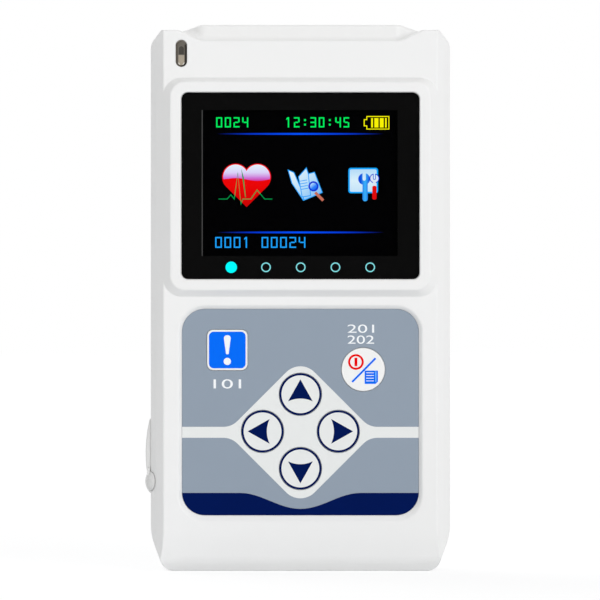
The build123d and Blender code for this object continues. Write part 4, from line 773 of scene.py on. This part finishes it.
@dataclass
class Inside:
    """Boards, sockets, cells and what else the casing holds."""

    sleeve_gap: float = 0.01    # a sleeve's thickness over its cell
    sleeve_end: float = 2.0     # the bare stretch at each end of a cell
    band_share: float = 0.22    # the silver band, as a share of the sleeve's length
    round_steps: int = 64       # flats round a sleeve

    def build(self) -> None:
        """Dress the inner pieces and wrap the cells in their sleeves."""
        dress(BOARD_GREEN, "main_board", "signal_board")
        dress(PA_BLACK, "board_chips", "board_link", "lcd_connector", "usb_tongue", "buzzer")
        dress(PBT_GREY, "lead_socket")
        dress(PIN_GOLD, "lead_contacts")
        dress(SHEET_TINNED, "shield_can", "usb_shell", "key_switches", "clock_cell", "cell_clip")
        dress(PLATE_NICKEL, "battery_contacts", "battery_springs", "battery_left", "battery_right")
        dress(POLYIMIDE, "lcd_flex")
        dress(TRAY_GREY, "lcd_frame")
        dress(FOAM_BLACK, "lcd_gasket")
        self.sleeve("battery_left", nub_up=True)
        self.sleeve("battery_right", nub_up=False)

    def sleeve(self, node: str, nub_up: bool) -> None:
        """Wrap one cell in a plain two-tone sleeve, with the silver band beside its nub.

        Args:
            node: the cell.
            nub_up: whether its nub is at the upper end.
        """
        low, high = box_mm(node)
        bottom, top = low.z + self.sleeve_end, high.z - self.sleeve_end
        split = bottom + (top - bottom) * (1 - self.band_share if nub_up else self.band_share)
        lower, upper = (SLEEVE_BLUE, SLEEVE_SILVER) if nub_up else (SLEEVE_SILVER, SLEEVE_BLUE)
        middle, radius, steps = (low + high) / 2, (high.x - low.x) / 2 + self.sleeve_gap, self.round_steps
        round_it = arc(middle.x, middle.y, radius, 0, 360, steps)[:-1]
        faces = [(i, (i + 1) % steps, steps + (i + 1) % steps, steps + i) for i in range(steps)]
        for ending, start, end, finish in (("low", bottom, split, lower), ("high", split, top, upper)):
            name = f"{node}_sleeve_{ending}"
            mesh = bpy.data.meshes.new(name)
            mesh.from_pydata([(px * MM, py * MM, z * MM) for z in (start, end) for px, py in round_it], [], faces)
            mesh.shade_smooth()
            add_piece(name, mesh, surface(finish), CASING)


@dataclass
class Picture:
    """Lit shapes on the display's glass, measured from a middle of their own."""

    glass: Face
    x: float    # that middle, in the front view
    z: float

    def show(self, name: str, outlines: list[Outline], look: Lit | Fade, level: int = 0) -> None:
        """Lay one lit shape on the glass.

        Args:
            name: the piece's name after "screen_".
            outlines: its outlines.
            look: its colour or tone.
            level: how many levels it lies above the lowest ones.
        """
        material = lit(look) if isinstance(look, Lit) else faded(look, self.x, self.z)
        placed = [moved(outline, self.x, self.z) for outline in outlines]
        self.glass.sheet("screen_" + name, placed, material, level + 1)


@dataclass
class CellPicture(Picture):
    """The cells' level: an outlined cell with four bars."""

    width: float = 4.83
    height: float = 2.83
    nub: float = 0.55         # how far its nub stands out
    nub_half: float = 0.75    # half the nub's height
    inset: float = 1.0        # from the shell's left side to the first bar
    gap: float = 0.29         # from one bar to the next

    def draw(self) -> None:
        """Show the shell, with its nub on the left, and the bars in it."""
        half_w, half_h = self.width / 2, self.height / 2
        nub_left = -half_w - self.nub
        shell = [
            (-half_w, -half_h), (half_w, -half_h), (half_w, half_h), (-half_w, half_h), (-half_w, self.nub_half),
            (nub_left, self.nub_half), (nub_left, -self.nub_half), (-half_w, -self.nub_half),
        ]
        self.show("cell_sign", framed(shell, 0.9 * THIN_LINE), Lit.YELLOW)
        start = self.inset - half_w
        bars = []
        for width in (0.4, 0.85, 0.8, 0.35):
            bars.append(rectangle(start + width / 2, 0, width, self.height - 4 * THIN_LINE))
            start += width + self.gap
        self.show("cell_bars", bars, Lit.YELLOW)


@dataclass
class HeartPicture(Picture):
    """A glossy heart with a pulse trace across it, measured from between its lobes."""

    spread: float = 2.3     # each lobe's centre from the middle
    radius: float = 2.84    # a lobe's radius
    drop: float = 6.31      # the tip below the lobes' centres
    rim: float = 0.22       # red left round the gloss

    def draw(self) -> None:
        """Show the heart, its gloss and the trace."""
        top, tip, gloss_low, trace_low = (0, self.radius), (0, -self.drop), (0, -0.9), -4.62
        red = Fade("lit_heart_red", ((0.0, "#C80000"), (0.5, "#EE0202"), (1.0, "#EE080E")), tip, top)
        stops = ((0.0, "#D2148C"), (0.2, "#D278DC"), (0.5, "#DED6FC"), (1.0, "#E8FAFF"))
        self.show("heart", [self.outline()], red)
        self.show("heart_gloss", [self.gloss()], Fade("lit_heart_gloss", stops, gloss_low, top), 1)
        beat = [(-5.9, 0), (-4.1, 0), (-3.3, 0.9), (-2.6, 0), (-1.85, 5.5), (-1.2, -1.1), (-0.8, 0),
                (0.9, 0), (2.2, 1.9), (3.8, 0), (5.4, 0)]
        fall = [(-1.15, 6.4), (-0.6, 4.6), (-0.16, 0.4), (-0.3, 0.4), (-0.9, 4.6)]
        self.show("pulse", [ribbon(moved(beat, 0, trace_low), 0.85 * THIN_LINE)], Lit.PULSE_GREEN, 2)
        self.show("pulse_stroke", [moved(fall, 0, trace_low)], Lit.PULSE_GREEN, 3)

    def outline(self) -> Outline:
        """Two round lobes that run straight to a tip.

        Returns:
            The outline's points.
        """
        notch = math.degrees(math.acos(self.spread / self.radius))
        away = math.hypot(self.spread, self.drop)
        touch = 360 - math.degrees(math.atan2(self.drop, self.spread) + math.acos(self.radius / away))
        left = arc(-self.spread, 0, self.radius, notch, touch, 32)
        right = arc(self.spread, 0, self.radius, 180 - touch, 180 - notch, 32)
        return left + [(0, -self.drop)] + right

    def gloss(self) -> Outline:
        """The lobes' bright upper part, with a wave for its lower edge.

        Returns:
            The outline's points.
        """
        radius = self.radius - self.rim
        notch = math.degrees(math.acos(self.spread / radius))
        edge = arc(-self.spread, 0, radius, 190, notch) + arc(self.spread, 0, radius, 180 - notch, -10)
        half, drop, swing, steps = 1.75 * radius, 0.5, 0.3, 12
        for step in range(1, steps):
            share = step / steps
            edge.append((half * (1 - 2 * share), -drop - swing * math.sin(2 * math.pi * share)))
        return edge


@dataclass
class PagesPicture(Picture):
    """Fanned sheets of a report with a lens over them."""

    edge: float = 0.18          # width of a sheet's blue edge
    row_pitch: float = 0.58     # from one row of print to the next
    rim_radius: float = 1.08    # the lens with its rim
    ball_radius: float = 0.72   # the clear part of the lens

    def draw(self) -> None:
        """Show the sheets, the rear one first, then the rows of print and the lens."""
        fan = (
            [(-3.85, 3.0), (-3.0, 0.05), (-0.55, -3.6), (0.0, -3.2), (-2.45, 2.4)],
            [(0.6, 2.15), (-1.2, -0.6), (-0.45, -3.6), (3.55, -1.9), (1.85, 2.5)],
            [(0.13, 3.45), (-1.62, 1.47), (-0.85, -2.9), (1.1, -2.6), (0.6, 2.05)],
        )
        paper = Fade("lit_page", ((0.0, "#6CB2F4"), (0.45, "#B4DEFD"), (1.0, "#EEFBFF")), (3, -3.5), (-3, 3))
        for index, sheet in enumerate(fan):
            self.show(f"page_{index}", [sheet], paper, 2 * index)
            self.show(f"page_{index}_edge", framed(sheet, self.edge), Lit.BLUE, 2 * index + 1)
        x, first = -0.4, 0.65
        rows = [rectangle(x, first - row * self.row_pitch, width=1.5, height=0.16) for row in range(4)]
        self.show("page_rows", [turned(row, x, 0, 10) for row in rows], Lit.BLUE, 6)
        self.lens(1.6, -0.57)

    def lens(self, x: float, z: float) -> None:
        """Show the lens over the sheets.

        Args:
            x: its middle.
            z: height of its middle.
        """
        stops = ((0.0, "#1450F0"), (0.45, "#3088FF"), (1.0, "#C4ECFF"))
        ball = Fade("lit_lens", stops, (x + 0.6, z - 0.7), (x - 0.5, z + 0.7))
        handle = ribbon(moved([(0.35, -1.28), (2.05, -2.97)], x, z), width=0.6)
        self.show("lens_handle", [handle], Lit.COPPER, 7)
        self.show("lens_rim", [circle(x, z, self.rim_radius)], Lit.DEEP_BLUE, 8)
        self.show("lens_ball", [circle(x, z, self.ball_radius)], ball, 9)


@dataclass
class ToolsPicture(Picture):
    """A panel with a blue spanner and a small silver one in front of it."""

    panel_width: float = 5.6
    panel_height: float = 4.7
    rim: float = 0.65          # how much wider and taller the panel is with its rim
    shaft_x: float = 0.4       # the blue spanner's shaft
    shade: float = 0.9         # how far its tone runs to each side
    small_x: float = 2.35      # the silver spanner
    small_z: float = 0.45      # the middle of its head

    def draw(self) -> None:
        """Show the panel and the two tools."""
        pale = Fade("lit_panel", ((0.0, "#C4E4FC"), (0.5, "#DCF4FF"), (1.0, "#AEDAFC")), (0, -2.8), (0, 2.8))
        stops = ((0.0, "#0A50E0"), (0.5, "#3CB4FF"), (1.0, "#0A50E0"))
        steel = Fade("lit_spanner", stops, (self.shaft_x - self.shade, 0), (self.shaft_x + self.shade, 0))
        rim = rectangle(0, 0, self.panel_width + self.rim, self.panel_height + self.rim, radius=0.55)
        self.show("panel_rim", [rim], Lit.SKY)
        self.show("panel", [rectangle(0, 0, self.panel_width, self.panel_height, radius=0.3)], pale, 1)
        self.show("spanner_jaw", [self.jaw(0.2, 0.32, radius=1.25, notch=0.34)], steel, 2)
        self.show("spanner_shaft", [rectangle(self.shaft_x, -2.2, width=1.1, height=4.3, radius=0.5)], steel, 3)
        x, z = self.small_x, self.small_z
        self.show("small_jaw_edge", [self.jaw(x, z, radius=1.02, notch=0.16)], Lit.DEEP_BLUE, 3)
        self.show("small_jaw", [self.jaw(x, z, radius=0.84, notch=0.3)], Lit.SILVER, 4)
        self.show("small_shaft", [rectangle(x, z - 1.0, width=0.6, height=1.2)], Lit.SILVER, 4)
        self.show("small_grip", [rectangle(x, z - 3.0, width=0.9, height=2.9, radius=0.35)], Lit.RED, 4)

    def jaw(self, x: float, z: float, radius: float, notch: float) -> Outline:
        """A spanner's round head about x and z, with a notch for the nut, half as wide as given, at its top."""
        half_open = math.degrees(math.asin(notch / radius))
        return arc(x, z, radius, 90 + half_open, 450 - half_open) + arc(x, z, notch, 360, 180, 12)


@dataclass
class Display:
    """The window, its printed border, and what the display shows, measured from the middle of its lit area."""

    active_width: float = 40.8
    active_height: float = 30.6
    active_raise: float = 0.6    # the lit area's middle above the window's
    step: float = 0.02           # from one printed or lit level to the next
    stroke: float = 0.28         # width of a digit's bars
    digit_gap: float = 0.55      # from one digit to the next

    def build(self) -> None:
        """Build the window's print and the display's content."""
        dress(ACRYLIC_CLEAR, "display_window")
        dress(LCD_BLACK, "lcd_panel")
        x, window_z = middle_of("display_window")
        z = window_z + self.active_raise
        back_of_window = Face(box_mm("display_window")[1].y, "window_black", step=self.step)
        glass = Face(box_mm("lcd_panel")[0].y, "display_glass", step=self.step)
        self.border(back_of_window, x, z)
        self.page_marks(back_of_window, x, window_z)
        CellPicture(glass, x + 16.275, z + 12.685).draw()
        self.glow_lines(Picture(glass, x, z))
        HeartPicture(glass, x - 11.3, z + 1.28).draw()
        PagesPicture(glass, x + 1.15, z - 0.1).draw()
        ToolsPicture(glass, x + 13.2, z + 0.55).draw()
        self.numbers(Picture(glass, x, z))

    def border(self, face: Face, x: float, z: float) -> None:
        """Print the black border, and paint a pale highlight on the display's edge at the opening's left.

        Args:
            face: the window's back.
            x: the lit area's middle.
            z: height of the lit area's middle.
        """
        low, high = box_mm("display_window")
        margin, corner = 0.15, 1.4
        width, height = high.x - low.x - margin, high.z - low.z - margin
        outer = rectangle(x, z - self.active_raise, width, height, corner)
        inner = rectangle(x, z, self.active_width, self.active_height)
        edge = rectangle(x - self.active_width / 2 - THIN_LINE, z, THIN_LINE, self.active_height)
        face.sheet("window_border_print", [outer, inner], INK_BLACK)
        # The pale line at the opening's left edge is a painted highlight.
        face.sheet("window_edge_painted_highlight", [edge], EDGE_HIGHLIGHT_GREY, 2)

    def page_marks(self, face: Face, x: float, z: float) -> None:
        """Show the row of five round marks in the border below the display; the first one is filled.

        Args:
            face: the window's back.
            x: the window's middle.
            z: height of the window's middle.
        """
        aside, pitch, drop = 0.07, 7.29, 17.08
        for index in range(5):
            place = (x + aside + (index - 2) * pitch, z - drop)
            if index == 0:
                outlines, colour = [circle(*place, 1.2)], Lit.CYAN
            else:
                outlines, colour = ring(*place, radius=1.02, line=0.24), Lit.PALE_CYAN
            face.sheet(f"page_mark_{index}", outlines, lit(colour), 2)

    def numbers(self, picture: Picture) -> None:
        """Show three plain numbers in even segments.

        Args:
            picture: the whole lit area.
        """
        for name, text, left, low, width, height, colour in (
            ("number_left", "0024", -17.7, 11.7, 7.0, 2.15, Lit.GREEN),
            ("clock", "12:30:45", -3.1, 11.7, 13.6, 2.15, Lit.GREEN),
            ("number_low", "0001 00024", -17.9, -13.6, 19.2, 2.3, Lit.BLUE),
        ):
            pitch = (width + 0.3) / len(text)
            outlines = []
            for index, sign in enumerate(text):
                outlines += segments(sign, left + index * pitch, low, pitch - self.digit_gap, height, self.stroke)
            picture.show(name, outlines, colour)

    def glow_lines(self, picture: Picture) -> None:
        """Show the two blue lines that fade at their ends.

        Args:
            picture: the whole lit area.
        """
        half, half_line, level = 17.6, 0.2, 10.35
        stops = ((0.0, "#000104"), (0.2, "#0032C8"), (0.5, "#0050FF"), (0.8, "#0032C8"), (1.0, "#000104"))
        blue = Fade("lit_blue_line", stops, (-half, 0), (half, 0))
        sliver = [(px * half, pz * half_line) for px, pz in circle(0, 0, 1)]
        picture.show("line_upper", [moved(sliver, 0, level)], blue)
        picture.show("line_lower", [moved(sliver, 0, -level)], blue)


@dataclass
class Keypad:
    """The keypad film's print."""

    layer: float = 0.015          # thickness of the print
    key_gap: float = 0.12         # from a round key's cap to the print
    key_flange: float = 0.6       # how much wider than its cap a round key is under the film
    film_radius: float = 4.75     # the film's corners
    band_width: float = 2.3       # height of the white band beside the cross
    band_rise: float = 17.4       # the band's middle above the film's lower edge
    cross_reach: float = 15.6     # from the cross's middle to where its sides would meet
    cross_round: float = 4.2      # radius of its upper and lower corner
    fillet: float = 4.2           # radius where the band meets the cross
    wave_level: float = 4.67      # the navy field's height at the film's sides
    wave_drop: float = 3.35       # how far it dips in the middle
    wave_half: float = 12.7       # half the dip's width
    x: float = field(init=False)        # the cross's middle
    low: Vector = field(init=False)     # the film's lowest corner
    high: Vector = field(init=False)    # and its highest one

    def build(self) -> None:
        """Dress the film and print the white cross with its band, and the navy wave."""
        dress(FILM_GREY, "keypad_overlay")
        self.x = middle_of("up_key")[0]
        self.low, self.high = box_mm("keypad_overlay")
        film = Face(self.low.y, "film_grey", step=self.layer, thickness=self.layer)
        holes = [self.hole(name) for name in ("up_key", "down_key", "left_key", "right_key")]
        film.sheet("film_print_cross", [self.cross(), *holes], FILM_WHITE)
        film.sheet("film_print_wave", [self.wave()], FILM_NAVY)

    def hole(self, key: str) -> Outline:
        """The print's round hole for a key, whose flange hides its cap in the box."""
        low, high = box_mm(key)
        return circle(*middle_of(key), (high.x - low.x) / 2 - self.key_flange + self.key_gap)

    def cross(self) -> Outline:
        """The round-cornered cross with its band to the film's sides.

        Returns:
            The outline's points.
        """
        x, band = self.x, self.low.z + self.band_rise
        half, reach = self.band_width / 2, self.cross_reach
        root = reach - half
        lower = [
            (self.low.x, band - half, 0), (x - root, band - half, self.fillet), (x, band - reach, self.cross_round),
            (x + root, band - half, self.fillet), (self.high.x, band - half, 0),
        ]
        upper = [(px, 2 * band - pz, radius) for px, pz, radius in reversed(lower)]
        return rounded(lower + upper, 16)

    def wave(self) -> Outline:
        """The navy field at the film's foot, with a dip in the middle.

        Returns:
            The outline's points.
        """
        left, right, bottom, r = self.low.x, self.high.x, self.low.z, self.film_radius
        level, steps = bottom + self.wave_level, 24
        wave = [(right, level)]
        for step in range(steps + 1):
            share = 1 - 2 * step / steps
            dip = self.wave_drop * (1 + math.cos(math.pi * share)) / 2
            wave.append((self.x + self.wave_half * share, level - dip))
        wave.append((left, level))
        return wave + arc(left + r, bottom + r, r, 180, 270, 12) + arc(right - r, bottom + r, r, 270, 360, 12)


@dataclass
class Keys:
    """The signs on the six keys, each riding on its own key, and the numbers beside two of them."""

    ring_radius: float = 4.41      # the ring on an arrow key
    ring_line: float = 0.43
    pointer_half: float = 2.6      # half the width of the pointer in it
    pointer_tip: float = 3.12      # its tip above the key's middle
    pointer_low: float = 1.5       # its corners below the middle
    pointer_hollow: float = 0.6    # how far its base curves in
    mark_side: float = 7.7         # the mark key's blue face
    mark_round: float = 1.0
    page_side: float = 2.8         # the list page on the menu key
    page_cut: float = 0.5          # its cut corner
    page_pitch: float = 0.57       # from one of its rows to the next

    def build(self) -> None:
        """Dress the keys and draw their signs and numbers."""
        dress(KEY_WHITE, "mark_key", "menu_key")
        dress(FILM_WHITE, "up_key", "down_key", "left_key", "right_key")
        for name, degrees in (("up_key", 0), ("left_key", 90), ("down_key", 180), ("right_key", 270)):
            self.arrow(name, degrees)
        self.mark()
        self.menu()
        self.labels()

    def face(self, key: str) -> Face:
        """A key's front face."""
        return Face(box_mm(key)[0].y, "key_blue" if key == "mark_key" else "key_white", key)

    def arrow(self, key: str, degrees: float) -> None:
        """Draw a ring and a pointer with a hollowed base.

        Args:
            key: the key's node.
            degrees: which way the pointer turns, from up.
        """
        x, z = middle_of(key)
        steps = 12
        head = [(x, z + self.pointer_tip)]
        for step in range(steps + 1):
            share = 1 - 2 * step / steps
            rise = self.pointer_hollow * (1 - share ** 2) - self.pointer_low
            head.append((x + self.pointer_half * share, z + rise))
        self.face(key).sheet(key + "_ring", ring(x, z, self.ring_radius, self.ring_line), FILM_NAVY)
        self.face(key).sheet(key + "_pointer", [turned(head, x, z, degrees)], FILM_NAVY)

    def mark(self) -> None:
        """Draw the blue face and its exclamation mark."""
        x, z = middle_of("mark_key")
        foot, head = (0.26, -0.9, 0.2), (0.8, 3.1, 0.6)     # half width, height and corner radius of the bar's ends
        dot_drop, dot_radius = 2.4, 0.76
        ends = ((-1, foot), (1, foot), (1, head), (-1, head))
        bar = rounded([(x + side * half, z + rise, radius) for side, (half, rise, radius) in ends])
        face = self.face("mark_key")
        face.sheet("mark_key_face", [rectangle(x, z, self.mark_side, self.mark_side, self.mark_round)], INK_BLUE)
        face.sheet("mark_key_sign", [bar, circle(x, z - dot_drop, dot_radius)], INK_WHITE, 2)

    def menu(self) -> None:
        """Draw the power sign, the dividing line and the list page."""
        x, z = middle_of("menu_key")
        face = self.face("menu_key")
        power = (x - 1.53, z + 1.58)
        bar = rectangle(*power, width=0.6, height=1.8)
        face.sheet("menu_key_power", [*ring(*power, radius=1.65, line=0.45), bar], INK_RED)
        line = ribbon(moved([(-2.33, -2.63), (2.6, 2.37)], x, z), width=0.42)
        face.sheet("menu_key_line", [line], INK_BLUE)
        page_x, page_z, half, cut = x + 1.7, z - 1.63, self.page_side / 2, self.page_cut
        corners = [(-half, -half), (half - cut, -half), (half, cut - half), (half, half), (-half, half)]
        first, indent, length = page_z + half - 0.46, 0.26, self.page_side - 1.2
        rows = [rectangle(page_x - indent, first - row * self.page_pitch, length, height=0.16) for row in range(4)]
        stripe = rectangle(page_x + half - 0.44, page_z + 0.14, width=0.24, height=2.25)
        face.sheet("menu_key_page", [moved(corners, page_x, page_z), *rows], INK_BLUE)
        face.sheet("menu_key_page_edge", [stripe], INK_SKY, 2)

    def labels(self) -> None:
        """Print plain numbers on the film where a label belongs."""
        film = Face(box_mm("keypad_overlay")[0].y, "film_grey", step=Keypad.layer)
        x, z = middle_of("mark_key")
        film.digits("label_mark", "101", x - 2.9, z - 8.1, width=5.8, height=1.95)
        x, z = middle_of("menu_key")
        film.digits("label_menu_upper", "201", x - 3.3, z + 7.7, width=5.6, height=1.75)
        film.digits("label_menu_lower", "202", x - 3.3, z + 5.4, width=5.6, height=1.75)


@dataclass
class Studio:
    """Floor, world, lamps and camera."""

    view_width: float = 126.0    # how much of the object's front plane the picture takes in
    distance: float = 1500.0     # from the camera to that plane
    pad_drop: float = 2.0        # that plane behind the bezel pad's face
    height: float = 57.0         # the camera's height
    aside: float = -0.08         # the camera's place beside the object's middle
    ambient: float = 0.62        # strength of the plain light from all around
    floor_half: float = 6.0      # half the floor's side, in metres
    floor_shown: float = 0.28    # the share of the floor's own lit colour, with its shadow, that the camera sees
    floor_light: float = 0.74    # how bright the open floor is lit, so that the rest can be brought up to white

    def build(self) -> None:
        """Build the studio."""
        scene = bpy.context.scene
        scene.view_settings.view_transform = "Standard"
        scene.world = self.world()
        self.floor()
        self.lamp("key", source=(0.52, -1.0, 0.25), share=0.39, spread=30)
        self.lamp("rear", source=(-0.5, 1.0, 0.6), share=0.30, spread=45)
        scene.camera = self.camera()

    def looked_at(self, nodes: Nodes) -> Socket:
        """1 where the camera, a mirror or clear plastic looks at a surface, and 0 where light bounces off it.

        Args:
            nodes: the material or world being built.

        Returns:
            That number.
        """
        path = nodes.add("LightPath").outputs
        looked = path["Is Camera Ray"]
        for kind in ("Is Transmission Ray", "Is Glossy Ray"):
            looked = nodes.add("Math", {"operation": "MAXIMUM"}, _0=looked, _1=path[kind]).outputs[0]
        return looked

    def world(self) -> bpy.types.World:
        """Make plain ambient light, and white wherever something looks past the object.

        Returns:
            The world.
        """
        nodes = Nodes(bpy.data.worlds.new("studio_world"))
        ambient, white = (
            nodes.add("Background", Color=linear(WHITE), Strength=strength).outputs[0]
            for strength in (self.ambient, 1.0)
        )
        return nodes.output(nodes.add("MixShader", _0=self.looked_at(nodes), _1=ambient, _2=white).outputs[0])

    def floor(self) -> None:
        """Lay a pale floor that goes to white for the camera but keeps the object's shadow."""
        nodes = Nodes(bpy.data.materials.new("floor_pale"))
        place = nodes.add("TexCoord").outputs["Object"]
        clouds = nodes.add("TexNoise", Vector=place, Scale=3.0, Detail=2.0).outputs[0]
        tone = nodes.add(
            "Mix", {"data_type": "RGBA"}, Factor=clouds, _6=linear("#F2F3F4"), _7=linear("#F6F7F8")
        ).outputs[2]
        looked = self.looked_at(nodes)
        share = nodes.add("MapRange", Value=looked, To_Min=1.0, To_Max=self.floor_shown).outputs[0]
        shown = nodes.add("VectorMath", {"operation": "SCALE"}, _0=tone, Scale=share).outputs[0]
        own = nodes.add("BsdfDiffuse", Color=shown).outputs[0]
        lift = nodes.add("Math", {"operation": "MULTIPLY"}, _0=looked, _1=1 - self.floor_shown * self.floor_light)
        white = nodes.add("Emission", Color=linear(WHITE), Strength=lift.outputs[0]).outputs[0]
        half = self.floor_half
        mesh = bpy.data.meshes.new("floor")
        mesh.from_pydata([(-half, -half, 0), (half, -half, 0), (half, half, 0), (-half, half, 0)], [], [(0, 1, 2, 3)])
        cover(mesh, nodes.output(nodes.add("AddShader", _0=own, _1=white).outputs[0]))
        linked("floor", mesh)

    def lamp(self, name: str, source: Corner, share: float, spread: float) -> None:
        """Hang one far, soft lamp, which lights the object and the whole floor evenly.

        Args:
            name: the lamp's name.
            source: the direction that its light comes from.
            share: how much of a colour's written brightness it gives to a face turned to it.
            spread: how wide the lamp looks, in degrees.
        """
        light = bpy.data.lights.new(name, "SUN")
        light.energy = share * math.pi
        light.angle = math.radians(spread)
        lamp = linked("lamp_" + name, light)
        lamp.location = Vector(source).normalized()
        lamp.rotation_euler = Vector(source).to_track_quat("Z", "Y").to_euler()

    def camera(self) -> bpy.types.Object:
        """Set the camera straight in front of the object.

        Returns:
            The camera.
        """
        plane = box_mm("front_shell")[0].y + self.pad_drop
        data = bpy.data.cameras.new("camera")
        data.lens = data.sensor_width * self.distance / self.view_width
        data.clip_end = 20.0
        camera = linked("camera", data)
        camera.location = Vector((self.aside, plane - self.distance, self.height)) * MM
        camera.rotation_euler = (math.pi / 2, 0, 0)
        return camera


def main() -> None:
    """Build the look, one sub-assembly at a time."""
    logging.basicConfig(level=logging.INFO, format="%(name)s: %(message)s")
    for part in (Casing(), Indicator(), Inside(), Display(), Keypad(), Keys(), Studio()):
        part.build()


if __name__ == "__main__":
    main()
